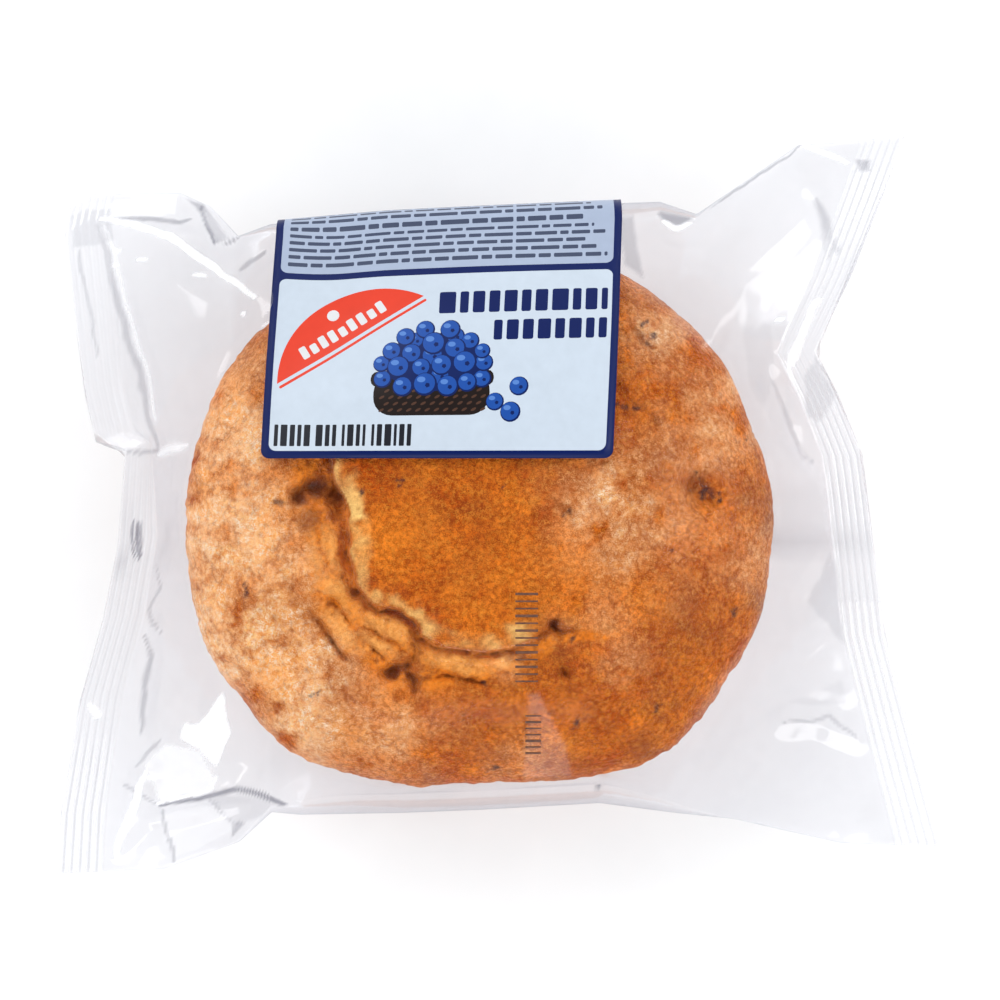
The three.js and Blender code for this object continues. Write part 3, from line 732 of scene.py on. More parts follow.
def crust(x, y):
    """The relief in millimetres at places on the crown, and its masks."""
    wx = x + LINE_STRAY * rough_noise(x, y, 3.0, 11)
    wy = y + LINE_STRAY * rough_noise(x, y, 3.0, 17)
    relief, in_burst, painted_shade, outward, along = burst_relief(wx, wy)
    relief, painted_shade = add_cracks(relief, painted_shade, wx, wy)
    relief, roll = add_rolls(relief, wx, wy)
    relief, painted_shade = add_pits(relief, painted_shade, wx, wy)

    swell = rough_noise(x, y, *SWELL) * 0.45 - 0.3
    off_cap = ease(outward, -1, 3)
    lumps = rough_noise(x, y, *LUMPS) * lerp(0.16, 0.42, off_cap)
    crumb = rough_noise(x, y, *CRUMB) * lerp(0.10, 0.20, off_cap)
    torn_lumps = (rough_noise(x, y, *TORN_LUMPS) - 0.2) * in_burst * 0.62
    pores = scattered_pores(x, y, *PORES)
    small_pores = scattered_pores(x + SMALL_PORE_SHIFT[0], y + SMALL_PORE_SHIFT[1], *SMALL_PORES)
    relief = relief + swell + lumps + crumb + torn_lumps
    relief = relief - PORE_DEPTH * pores**0.7 - SMALL_PORE_DEPTH * small_pores**0.7
    # The crust stays a little under the film that lies on it
    room = crown_field(x, y) + CRUST_ROOM - relief
    relief = relief + room - ROOM_SOFTNESS * np.logaddexp(0, room / ROOM_SOFTNESS)
    masks = {
        "pale_rim": pale_lip(x, y, outward, along),
        "burst": in_burst,
        "roll": roll * in_burst,
        # Painted shade: the burst's shadow, its cracks and pits, and the hollows between torn lumps
        "painted_shade": np.clip(painted_shade + in_burst * np.clip(-0.7 * torn_lumps - 0.12, 0, 0.25), 0, 1),
        **tone_masks(x, y, wx, wy, outward),
        "berry": berry_mask(x, y, wx, wy),
        "pore_shade": np.maximum(pores, 0.6 * small_pores),
        "rim_way": np.hypot(x - MUFFIN_PLACE[0], y - MUFFIN_PLACE[1]) / CROWN_RADIUS,
    }
    return relief, masks


# %% [markdown]
# One mesh for the whole muffin
#
# A square grid is bent into a disc for the crown, which keeps its faces even, where a fan of triangles
# would crowd them in the middle. Rings then carry the same points down the tapered side, and a bent
# square grid closes the base.

# %% Build the muffin's mesh
CROWN_POINTS = 293
SIDE_RINGS = 9
CROWN_CROWDING = 1.25
STEEP_FROM = 0.80
STEEP_SPREAD = 0.7
STEEP_DROP = 0.85


def square_to_disc(count):
    """Points of a square grid moved into a unit disc, with their order kept."""
    u, v = np.meshgrid(np.linspace(-1, 1, count), np.linspace(-1, 1, count), indexing="ij")
    return u * np.sqrt(1 - v * v / 2), v * np.sqrt(1 - u * u / 2)


def rim_order(count):
    """The numbers of a square grid's outer points, once round."""
    low = [i * count for i in range(count)]
    right = [(count - 1) * count + j for j in range(1, count)]
    top = [i * count + count - 1 for i in range(count - 2, -1, -1)]
    left = list(range(count - 2, 0, -1))
    return low + right + top + left


def build_crown():
    dx, dy = square_to_disc(CROWN_POINTS)
    share = np.hypot(dx, dy)
    reach = crown_radius(dx, dy)
    spread_out = np.where(share > 0, 1 - (1 - np.clip(share, 0, 1)) ** CROWN_CROWDING, 0)
    scale = np.where(share > 1e-9, spread_out / np.maximum(share, 1e-9), CROWN_CROWDING)
    x = MUFFIN_PLACE[0] + dx * scale * reach
    y = MUFFIN_PLACE[1] + dy * scale * reach
    relief, masks = crust(x, y)
    z = dome_height(spread_out)
    steep = ease(spread_out, STEEP_FROM, 1.0)
    outx, outy = dx / np.maximum(share, 1e-9), dy / np.maximum(share, 1e-9)
    x = x + outx * relief * STEEP_SPREAD * steep
    y = y + outy * relief * STEEP_SPREAD * steep
    z = z + relief * (1 - STEEP_DROP * steep)
    return np.stack([x.ravel(), y.ravel(), z.ravel()], axis=1), masks


crown_points, crown_masks = build_crown()
muffin_points = [crown_points]
muffin_values = {key: [value.ravel()] for key, value in crown_masks.items()}
muffin_faces = grid_faces(CROWN_POINTS, CROWN_POINTS)
rim = rim_order(CROWN_POINTS)
rim_points = crown_points[rim]
print("the crown has", len(crown_points), "points,", len(rim), "of them round its rim")

# %% Carry the rim down the side and close the base
SIDE_ROUGH = 0.3
SIDE_CELL = 3.6
rim_way = np.arctan2(rim_points[:, 1] - MUFFIN_PLACE[1], rim_points[:, 0] - MUFFIN_PLACE[0])
previous = rim
count = CROWN_POINTS**2
for ring in range(1, SIDE_RINGS + 1):
    fall = ring / SIDE_RINGS
    height = WAIST_HEIGHT * (1 - fall) + BASE_LIFT * fall
    reach = np.hypot(rim_points[:, 0] - MUFFIN_PLACE[0], rim_points[:, 1] - MUFFIN_PLACE[1])
    radius = lerp(reach, BASE_RADIUS * reach / CROWN_RADIUS, fall)
    grooves = rough_noise(rim_way * 45, np.full_like(rim_way, height), SIDE_CELL, 61, 3)
    relief = SIDE_ROUGH * grooves - SIDE_ROUGH
    relief = relief * math.sin(math.pi * min(fall, 0.98)) ** 0.4
    x = MUFFIN_PLACE[0] + (radius + relief) * np.cos(rim_way)
    y = MUFFIN_PLACE[1] + (radius + relief) * np.sin(rim_way)
    z = rim_points[:, 2] * (1 - fall) ** 3 + height * (1 - (1 - fall) ** 3)
    muffin_points.append(np.stack([x, y, z], axis=1))
    current = list(range(count, count + len(rim)))
    count += len(rim)
    for k in range(len(rim)):
        n = (k + 1) % len(rim)
        muffin_faces.append((previous[k], current[k], current[n], previous[n]))
    previous = current
    for key, values in muffin_values.items():
        edge = values[0][rim]
        values.append(np.ones(len(rim)) * (1 + fall) if key == "rim_way" else edge * (1 - fall) ** 2)
muffin_faces.append(tuple(reversed(previous)))
muffin_points = np.concatenate(muffin_points)
muffin_values = {key: np.concatenate(values) for key, values in muffin_values.items()}
print("the muffin is", np.round(np.ptp(muffin_points, axis=0), 1), "mm")

# %% [markdown]
# The baked crust's finish
#
# The crown is a deep golden brown, darker on the raised plate and towards the back, paler and
# pinker on the shoulder, where the sugar lies and a soft sheen of the lamps is painted in. Torn crumb is
# the colour of honey. Baked sugar makes the crust glint, so its roughness is low and uneven, over a fine
# bump, and glints are painted in as pale specks too. Shade is painted into the burst, cracks, pits and
# pores.

# %% Crust material
CAP_DEEP = (0.270, 0.034, 0.0012, 1)
CAP_MIDDLE = (0.545, 0.088, 0.003, 1)
CAP_GLOW = (0.960, 0.270, 0.020, 1)
DARK_CRUST_AND_SHADE_BROWN = (0.230, 0.052, 0.013, 1)
CRACK_BROWN = (0.300, 0.058, 0.008, 1)
CRUST_ORANGE = (0.890, 0.295, 0.040, 1)
SUGAR_AND_SHEEN_TAN = (1.000, 0.570, 0.195, 1)
HONEY = (1.000, 0.370, 0.045, 1)
CAP_GLINT = (1.000, 0.390, 0.045, 1)
SUGAR_GLINT = (1.000, 0.840, 0.620, 1)
PAINTED_SHEEN_VEIL = (1.000, 0.640, 0.360, 1)
CRUMB_HONEY = (0.900, 0.255, 0.018, 1)
CRUMB_TAN = (1.000, 0.450, 0.110, 1)
CRUMB_BROWN = (0.500, 0.115, 0.014, 1)
RIM_PALE = (1.000, 0.620, 0.200, 1)
PAINTED_PIT_SHADE = (0.150, 0.029, 0.008, 1)
BERRY_DARK = (0.060, 0.028, 0.028, 1)
SIDE_BROWN = (0.330, 0.080, 0.014, 1)
SIDE_TAN = (0.620, 0.210, 0.045, 1)


def crust_finish():
    material, tree = new_material("baked_crust")
    times = lambda a, b, top=True: math_node(tree, "MULTIPLY", a, b, clamp=top)
    linear = lambda value, slope, start: math_node(tree, "MULTIPLY_ADD", value, slope, start)
    blend = lambda share, low, high: mix_color(tree, share, low, high)
    mask = lambda key: attribute(tree, key)
    broad = grain(tree, 75.0, 0.35, 0.42, 0.60)
    mottled = grain(tree, 330.0, 0.5, 0.42, 0.60)
    fine = grain(tree, 1250.0, 0.45, 0.43, 0.57)
    glints = grain(tree, 1150.0, 0.55, 0.48, 0.56)
    glints = times(glints, linear(mottled, 0.75, 0.25))
    cracks = fine_cracks(tree, 260.0, 0.10)
    wrinkled = map_range(tree, mask("rim_way"), 0.25, 0.60, 0.25, 1.0)
    cracks = times(times(cracks, wrinkled), linear(mask("sugar_and_sheen"), -0.65, 1.0))
    cap = blend(fine, CAP_DEEP, CAP_MIDDLE)
    cap = blend(times(broad, linear(fine, 0.5, 0.25)), cap, CAP_GLOW)
    cap = blend(times(mask("glow"), linear(fine, 0.4, 0.35)), cap, CAP_GLOW)
    cap = blend(times(mottled, 0.3), cap, CAP_DEEP)
    sugar_and_sheen_tone = blend(fine, CRUST_ORANGE, SUGAR_AND_SHEEN_TAN)
    # Painted sheen: a pale veil where the lamps' soft reflection lies on the sugar
    sugar_and_sheen_tone = blend(times(broad, 0.40), sugar_and_sheen_tone, PAINTED_SHEEN_VEIL)
    sugar_and_sheen_tone = blend(times(mask("glow"), linear(mottled, 0.5, 0.4)), sugar_and_sheen_tone, HONEY)
    color = blend(times(mask("sugar_and_sheen"), 0.9), cap, sugar_and_sheen_tone)
    # Darker crust, and painted shade along the right and front rim
    color = blend(times(mask("dark_crust_and_shade"), 0.8), color, DARK_CRUST_AND_SHADE_BROWN)
    # Painted glints: pale specks of highlight, more and paler on the sugar
    glint_tone = blend(mask("sugar_and_sheen"), CAP_GLINT, SUGAR_GLINT)
    color = blend(times(glints, linear(mask("sugar_and_sheen"), 0.42, 0.36)), color, glint_tone)
    color = blend(times(cracks, 0.7), color, CRACK_BROWN)
    torn = blend(mottled, CRUMB_HONEY, CRUMB_BROWN)
    torn = blend(times(mask("roll"), linear(fine, 0.5, 0.5)), torn, CRUMB_TAN)
    # Painted glints on the torn crumb
    torn = blend(times(glints, 0.35), torn, CRUMB_TAN)
    color = blend(times(mask("burst"), 0.88), color, torn)
    color = blend(times(mask("pale_rim"), linear(fine, 0.3, 0.8)), color, RIM_PALE)
    # Painted shade in the burst's shadow, the cracks, the pits and the torn hollows
    deep = math_node(tree, "POWER", mask("painted_shade"), 1.35)
    color = blend(times(deep, 0.92), color, PAINTED_PIT_SHADE)
    # Painted shade in the open pores
    color = blend(times(mask("pore_shade"), 0.4), color, CAP_DEEP)
    side = map_range(tree, mask("rim_way"), 1.0, 1.3)
    color = blend(side, color, blend(times(mottled, linear(fine, 0.6, 0.4)), SIDE_BROWN, SIDE_TAN))
    color = blend(times(mask("berry"), linear(fine, -0.4, 0.9)), color, BERRY_DARK)
    roughness = map_range(tree, fine, 0.0, 1.0, 0.60, 0.32)
    grainy = times(math_node(tree, "ADD", fine, glints), 0.5, False)
    height = math_node(tree, "ADD", times(mottled, 1.5, False), grainy)
    bump = add_node(tree, "ShaderNodeBump", {"Height": height, "Distance": 0.0003, "Strength": 0.7})
    shader = add_node(
        tree,
        "ShaderNodeBsdfPrincipled",
        {"Base Color": color, "Roughness": roughness, "Normal": bump.outputs[0]},
    )
    tree.links.new(linear(mask("sugar_and_sheen"), 0.42, 0.06), shader.inputs["Specular IOR Level"])
    return finish_material(material, tree, shader.outputs[0])


muffin = new_piece("muffin", muffin_points, muffin_faces, crust_finish(), muffin_values)
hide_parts("sealed_bag")

# %% [markdown]
# The bag's form
#
# The bag is a tube of film round the muffin, pressed flat and crimped at both ends. Seen from above its
# edge is four lines: two crimped ends, and the front and back where the tube turns under. A place on the
# bag is a share across and a share from front to back, blended from those four lines, so the film
# can be gridded evenly although its outline isn't square. The same lines give the plain model its form.

# %% The bag's four edges, in millimetres: x, y and the height there
LEFT_SEAL = [
    (-81.7, -68.2, 3.5), (-80.8, -57.1, 5.5), (-76.9, -35.8, 9.5), (-72.4, -21.1, 12), (-69.6, -7.4, 13.5),
    (-68.3, 9.7, 13.5), (-73.8, 11.3, 11), (-75.9, 20.2, 11), (-77.3, 31.1, 11), (-79.6, 49.6, 10),
    (-78.7, 54.5, 9.5),
]
RIGHT_SEAL = [
    (81.9, -63.1, 3.5), (76.1, -43.2, 8), (70.6, -23.8, 12), (68.3, -6.3, 14), (66.3, 9.1, 15.5),
    (61.7, 20.1, 17.5), (57.4, 28.1, 19), (64.2, 41.8, 17), (70.4, 57.4, 15), (74.1, 67.3, 14),
]
FRONT_EDGE = [
    (-81.7, -68.2, 3.5), (-61.7, -67.2, 4), (-47.8, -62.1, 5), (-41.8, -56.5, 8), (-36.4, -56.7, 12),
    (-18.0, -56.0, 18), (-3.4, -55.3, 20), (18.3, -54.2, 18), (32.2, -56.3, 13), (43.3, -57.7, 9),
    (63.0, -62.4, 4.5), (81.9, -63.1, 3.5),
]
BACK_EDGE = [
    (-78.7, 54.5, 9.5), (-74.4, 57.0, 10), (-58.4, 57.1, 12), (-52.8, 54.6, 13), (-47.5, 49.0, 16),
    (-41.5, 51.0, 19), (-20.0, 52.7, 21.5), (-3.4, 53.5, 22), (20.0, 54.6, 21.5), (29.2, 55.0, 20),
    (36.0, 52.9, 17.5), (45.2, 59.2, 15.5), (54.6, 65.7, 14), (74.1, 67.3, 14),
]
# Away from the left end its folded corner smooths out, so these are its points without the fold
LEFT_SMOOTH = LEFT_SEAL[:5] + LEFT_SEAL[7:]
FOLD_START = 0.02
FOLD_REACH = 0.09
SEAL_WIDTH = 8.5
SEAL_HALF = 0.12
EDGE_ROUND = 6.0
EDGE_BULGE = 0.62
EDGE_REACH = 50.0
EDGE_ROUND_UNTIL = 0.45
FILM_GAP = 0.5
SHOULDER_GAP = 1.5
FILM_BASE = 0.4
FILM_CROWN = 46.1
FILM_BASE_RADIUS = 39.0
BAG_ACROSS = 163.6
BAG_DEEP = 122.7
SHARE_STEPS = 40
SHARE_PACE = 0.9
SEAL_SHARE = SEAL_WIDTH / (FRONT_EDGE[-1][0] - FRONT_EDGE[0][0])


def line_at(line, axis, values):
    table = np.array(line, dtype=float)
    return [np.interp(values, table[:, axis], table[:, k]) for k in range(3)]


def edge_half(x):
    """Half the height of the film's rounded front or back edge."""
    out = np.abs(x - MUFFIN_PLACE[0]) / EDGE_REACH
    return lerp(EDGE_ROUND, SEAL_HALF, ease(out, EDGE_ROUND_UNTIL, 1.0))


def edge_bulge(x):
    return EDGE_BULGE * (edge_half(x) - SEAL_HALF)


def bag_point(s, t):
    """The middle of the bag at a share s from left to right and t from front to back."""
    left_y = lerp(LEFT_SEAL[0][1], LEFT_SEAL[-1][1], t)
    folded, smooth = line_at(LEFT_SEAL, 1, left_y), line_at(LEFT_SMOOTH, 1, left_y)
    left = [lerp(a, b, ease(s, FOLD_START, FOLD_REACH)) for a, b in zip(folded, smooth)]
    right = line_at(RIGHT_SEAL, 1, lerp(RIGHT_SEAL[0][1], RIGHT_SEAL[-1][1], t))
    front = line_at(FRONT_EDGE, 0, lerp(FRONT_EDGE[0][0], FRONT_EDGE[-1][0], s))
    back = line_at(BACK_EDGE, 0, lerp(BACK_EDGE[0][0], BACK_EDGE[-1][0], s))
    front[1] = front[1] + edge_bulge(front[0])
    back[1] = back[1] - edge_bulge(back[0])
    point = []
    for k in range(3):
        near = lerp(LEFT_SEAL[0][k], RIGHT_SEAL[0][k], s)
        far = lerp(LEFT_SEAL[-1][k], RIGHT_SEAL[-1][k], s)
        point.append(lerp(left[k], right[k], s) + lerp(front[k], back[k], t) - lerp(near, far, t))
    return point


def shares_at(x, y):
    """The shares of the bag at places x, y, found by stepping towards them."""
    s, t = np.full(np.shape(x), 0.5), np.full(np.shape(x), 0.5)
    for _ in range(SHARE_STEPS):
        px, py, _ = bag_point(s, t)
        s = np.clip(s + SHARE_PACE * (x - px) / BAG_ACROSS, 0, 1)
        t = np.clip(t + SHARE_PACE * (y - py) / BAG_DEEP, 0, 1)
    return s, t


# %% [markdown]
# How the film hangs
#
# Film is taut: between its edges it takes the shortest way, and it rests on whatever stands in that way.
# A grid of heights does the same when each point is moved, again and again, to the average of its
# neighbours, and is pushed back out wherever it would enter the muffin. It is solved on a coarse grid
# first and refined, which is quick, because the broad form settles there.

# %% Stretch the film over the muffin
NO_LIMIT = 1e3
OVERSHOOT = 1.6
ROW_CROWDING = 0.6


def film_over_crown(x, y):
    """The lowest that the film can lie at a place, because of the muffin under it."""
    dx, dy = x - MUFFIN_PLACE[0], y - MUFFIN_PLACE[1]
    radius = np.hypot(dx, dy)
    backward = np.maximum(0, dy) / np.maximum(radius, TINY)
    reach = crown_radius(dx, dy) + FILM_GAP + SHOULDER_GAP * backward
    share = radius / reach
    return np.where(share < 1, dome_height(share, FILM_CROWN), -NO_LIMIT)


def film_under_base(x, y):
    dx, dy = x - MUFFIN_PLACE[0], y - MUFFIN_PLACE[1]
    share = np.hypot(dx, dy) / (crown_radius(dx, dy) + FILM_GAP)
    base = FILM_BASE_RADIUS / CROWN_RADIUS
    side = WAIST_HEIGHT * (share - base) / (1 - base)
    return np.where(share < 1, np.maximum(FILM_BASE, side), NO_LIMIT)


def stretch(x, y, z, limit, held, rounds):
    """Relaxes heights z over the places x, y. limit(z) pushes them back out of the muffin."""
    west = np.hypot(x[1:-1, 1:-1] - x[:-2, 1:-1], y[1:-1, 1:-1] - y[:-2, 1:-1])
    east = np.hypot(x[1:-1, 1:-1] - x[2:, 1:-1], y[1:-1, 1:-1] - y[2:, 1:-1])
    south = np.hypot(x[1:-1, 1:-1] - x[1:-1, :-2], y[1:-1, 1:-1] - y[1:-1, :-2])
    north = np.hypot(x[1:-1, 1:-1] - x[1:-1, 2:], y[1:-1, 1:-1] - y[1:-1, 2:])
    across, deep = 1 / (west + east), 1 / (south + north)
    whole = across * (1 / west + 1 / east) + deep * (1 / south + 1 / north)
    parity = np.add.outer(np.arange(z.shape[0] - 2), np.arange(z.shape[1] - 2)) % 2
    free = ~held[1:-1, 1:-1]
    for _ in range(rounds):
        for turn in (0, 1):
            pull = across * (z[:-2, 1:-1] / west + z[2:, 1:-1] / east)
            pull = pull + deep * (z[1:-1, :-2] / south + z[1:-1, 2:] / north)
            moved = z.copy()
            moved[1:-1, 1:-1] += OVERSHOOT * (pull / whole - z[1:-1, 1:-1])
            moved = limit(moved)
            chosen = free & (parity == turn)
            z[1:-1, 1:-1] = np.where(chosen, moved[1:-1, 1:-1], z[1:-1, 1:-1])
    return z


def column_shares(seal_columns, middle_columns):
    left = np.linspace(0, SEAL_SHARE, seal_columns, endpoint=False)
    middle = np.linspace(SEAL_SHARE, 1 - SEAL_SHARE, middle_columns)
    return np.concatenate([left, middle, 1 - left[::-1]])


def row_shares(rows):
    even = np.linspace(0, 1, rows)
    return lerp(even, 0.5 - 0.5 * np.cos(np.pi * even), ROW_CROWDING)


def sample(field, columns, rows, s, t):
    """The value of a field of the grid at shares s, t."""
    i = np.clip(np.searchsorted(columns, s, side="right") - 1, 0, len(columns) - 2)
    j = np.clip(np.searchsorted(rows, t, side="right") - 1, 0, len(rows) - 2)
    a = (s - columns[i]) / (columns[i + 1] - columns[i])
    b = (t - rows[j]) / (rows[j + 1] - rows[j])
    return between_corners(lambda di, dj: field[i + di, j + dj], a, b)


def hang_sheet(stages, top):
    """Solves one sheet of the bag on finer and finer grids."""
    known = None
    for seal_columns, middle_columns, rows, rounds in stages:
        columns, ranks = column_shares(seal_columns, middle_columns), row_shares(rows)
        s, t = np.meshgrid(columns, ranks, indexing="ij")
        x, y, middle = bag_point(s, t)
        start = middle + edge_half(x) * (1 if top else -1)
        held = np.zeros(x.shape, dtype=bool)
        held[: seal_columns + 1] = held[-seal_columns - 1 :] = True
        floor_z = film_over_crown(x, y) if top else film_under_base(x, y)
        if top:
            limit = lambda z: np.maximum(z, floor_z)
        else:
            limit = lambda z: np.maximum(FILM_BASE, np.minimum(z, floor_z))
        z = start.copy()
        if known is not None:
            z = sample(*known, s, t)
            z[held] = start[held]
            z[:, 0], z[:, -1] = start[:, 0], start[:, -1]
        z[~held] = limit(z)[~held]
        z = stretch(x, y, z, limit, held, rounds)
        known = (z, columns, ranks)
    return x, y, z, floor_z, columns, ranks


# Each stage: the columns of a seal and of the middle, the rows, and the rounds of stretching
TOP_STAGES = [(3, 60, 51, 240), (8, 130, 111, 120), (22, 290, 231, 60)]
LOW_STAGES = [(3, 60, 41, 240), (22, 290, 41, 90)]
film_x, film_y, film_z, film_floor, film_columns, film_rows = hang_sheet(TOP_STAGES, True)
low_x, low_y, low_z, _, _, low_rows = hang_sheet(LOW_STAGES, False)
print("the film stands", round(float(film_z.max()), 1), "mm high")

# %% [markdown]
# Folds, facets and crimps
#
# Slack film doesn't curve in two ways at once: it breaks into flat facets with sharp creases between
# them. A lattice with strayed corners, split into triangles, makes such facets. The long folds of this
# bag are added one by one. Over the crown the film takes the crust's relief, and the ends get the fine
# parallel ridges of the crimping jaws.

# %% Relief of the slack film
# Each fold: the points of its ridge line, its height (down if negative) and half width, in millimetres
FOLDS = [
    ([(-73.1, 52.4), (-66.1, 51.0), (-60.1, 48.8), (-54.6, 44.9), (-44.0, 37.4)], 2.2, 5.5),
    ([(-71.6, 52.2), (-63.9, 52.4), (-58.3, 51.5)], -1.0, 2.5),
    ([(-73.6, 51.1), (-70.3, 38.5), (-65.6, 24.3), (-62.1, 9.9)], -1.4, 4.0),
    ([(-54.6, 54.8), (-51.7, 47.3)], -1.6, 4.0), ([(-46.9, 42.2), (-42.4, 46.0)], -1.0, 3.0),
    ([(-64.1, -20.7), (-63.7, -27.8), (-65.6, -41.5)], -1.2, 3.0),
    ([(-62.8, -54.6), (-52.6, -52.1), (-47.3, -50.7)], 2.0, 4.0),
    ([(-62.1, -57.0), (-55.2, -55.7), (-47.3, -54.2)], -1.6, 3.0),
    ([(-64.5, -48.8), (-67.8, -57.3), (-70.7, -65.2)], 1.6, 3.5),
    ([(-49.7, -33.6), (-51.3, -42.5), (-52.6, -50.0)], 1.4, 4.0), ([(32.5, 50.2), (36.0, 52.6)], -1.6, 4.0),
    ([(57.9, 55.7), (61.7, 46.2)], -1.2, 3.0),
    ([(57.4, 36.0), (55.3, 30.1), (52.4, 24.3), (51.5, 17.4)], 1.8, 4.0),
    ([(49.7, 22.5), (53.9, 11.7), (57.3, 7.9)], -1.6, 3.5),
    ([(51.9, -39.6), (57.5, -39.6), (65.7, -42.7)], -1.4, 3.5), ([(56.1, -17.5), (61.2, -9.5)], 1.2, 3.5),
    ([(17.9, -49.6), (26.8, -53.6)], 1.4, 3.5),
]
FACET_CELL = 11.0
FACET_SHIFT = 0.27
FACET_RISE = 0.75
SMALL_FACET_CELL = 4.3
SMALL_FACET_RISE = 0.16
CRIMP_STEP = 1.55
CRIMP_HEIGHT = 0.15
# How hard the jaws pressed at each y, for the left and the right end
CRIMP_PRESS = [
    [(-68, 0.9), (-46, 0.9), (-41, 0.45), (-8, 0.4), (12, 0.2), (26, 0.15), (45, 0.2), (54, 0.3)],
    [(-63, 1.0), (-26, 0.9), (-10, 0.4), (-1, 0.7), (20, 0.6), (28, 0.25), (42, 0.5), (58, 0.9), (67, 0.4)],
]


def scatter(i, j, k):
    """A repeatable scattered number from -1 to 1 for a corner of the facets' lattice."""
    value = np.sin(i * 127.1 + j * 311.7 + k * 74.7) * 43758.5453
    return 2 * (value - np.floor(value)) - 1


def facet_corner(i, j, cell, first):
    shift = [FACET_SHIFT * scatter(i, j, first + k) for k in (0, 1)]
    return (i + shift[0]) * cell, (j + shift[1]) * cell, scatter(i, j, first + 2)


def facet_field(x, y, cell, first=1):
    """Heights from -1 to 1, flat over each triangle of a scattered lattice."""
    ci, cj = np.floor(x / cell), np.floor(y / cell)
    field, found = np.zeros(np.shape(x)), np.zeros(np.shape(x), dtype=bool)
    for di in (-1, 0, 1):
        for dj in (-1, 0, 1):
            i, j = ci + di, cj + dj
            near, far = facet_corner(i, j, cell, first), facet_corner(i + 1, j + 1, cell, first)
            right, left = facet_corner(i + 1, j, cell, first), facet_corner(i, j + 1, cell, first)
            for p, q, r in ((near, right, far), (near, far, left)):
                area = (q[0] - p[0]) * (r[1] - p[1]) - (r[0] - p[0]) * (q[1] - p[1])
                to_q = ((x - p[0]) * (r[1] - p[1]) - (r[0] - p[0]) * (y - p[1])) / area
                to_r = ((q[0] - p[0]) * (y - p[1]) - (x - p[0]) * (q[1] - p[1])) / area
                inside = (to_q >= 0) & (to_r >= 0) & (to_q + to_r <= 1) & ~found
                height = p[2] + to_q * (q[2] - p[2]) + to_r * (r[2] - p[2])
                field, found = np.where(inside, height, field), found | inside
    return field


def fold_field(x, y):
    relief = np.zeros(np.shape(x))
    for line, rise, half in FOLDS:
        away, _, _ = near_line(x, y, line)
        relief = relief + rise * np.clip(1 - away / half, 0, 1)
    return relief


def end_distance(s):
    """How far a share is from the nearer end, in seal widths."""
    return np.minimum(s, 1 - s) / SEAL_SHARE


def crimp_field(s, x, y):
    """The fine ridges along the sealed ends, a mask of the sealed strip, and the ridges as -1 to 1."""
    inset = end_distance(s) * SEAL_WIDTH
    inside = 1 - ease(inset, SEAL_WIDTH - 0.8, SEAL_WIDTH + 0.4)
    left, right = [np.interp(y, *np.array(CRIMP_PRESS[k]).T) for k in (0, 1)]
    wave = np.where(x < 0, left, right) * np.sin(2 * np.pi * inset / CRIMP_STEP)
    return inside * wave * CRIMP_HEIGHT, inside, inside * wave


def slack_share(columns, rows):
    """Where the film is free of its seals and its front and back edge, and its shares across."""
    s, t = np.meshgrid(columns, rows, indexing="ij")
    return ease(end_distance(s), 0.6, 1.7) * ease(np.minimum(t, 1 - t), 0.0, 0.05), s


BARE_GAP = 0.15
slack, film_s = slack_share(film_columns, film_rows)
crimp, film_seal, film_ridge = crimp_field(film_s, film_x, film_y)
lifted = ease(film_z - film_floor, 0.2, 3.0)
free_relief = fold_field(film_x, film_y) + FACET_RISE * facet_field(film_x, film_y, FACET_CELL)
free_relief = free_relief + SMALL_FACET_RISE * facet_field(film_x, film_y, SMALL_FACET_CELL, 11)
flat_film_z = film_z.copy()
film_z = film_z + lerp(crown_field(film_x, film_y), free_relief * slack, lifted) + crimp
muffin_dx, muffin_dy = film_x - MUFFIN_PLACE[0], film_y - MUFFIN_PLACE[1]
muffin_share = np.hypot(muffin_dx, muffin_dy) / crown_radius(muffin_dx, muffin_dy)
steep = ease(muffin_share, STEEP_FROM, 1.0)
bare = dome_height(muffin_share) + crust(film_x, film_y)[0] * (1 - STEEP_DROP * steep)
film_z = np.where(muffin_share < 0.985, np.maximum(film_z, bare + BARE_GAP), film_z)
low_slack, low_s = slack_share(film_columns, low_rows)
low_crimp, low_seal, _ = crimp_field(low_s, low_x, low_y)
off_floor = ease(low_z, FILM_BASE + 0.5, FILM_BASE + 5)
low_relief = 0.5 * FACET_RISE * facet_field(low_x, low_y, FACET_CELL, 21) * low_slack
low_z = np.maximum(FILM_BASE, low_z + low_relief * off_floor) + low_crimp
print(len(FOLDS), "folds, and the film is now", round(float(film_z.max()), 1), "mm high")

# %% [markdown]
# Creases and glints
#
# A crease in clear film shows as a thin line, light where it catches a lamp and dark where the film
# stands on edge, and a facet as an even patch. They are painted here as lines and outlines, and stored on
# the film's points as two masks, one for painted glints and one for painted shade.

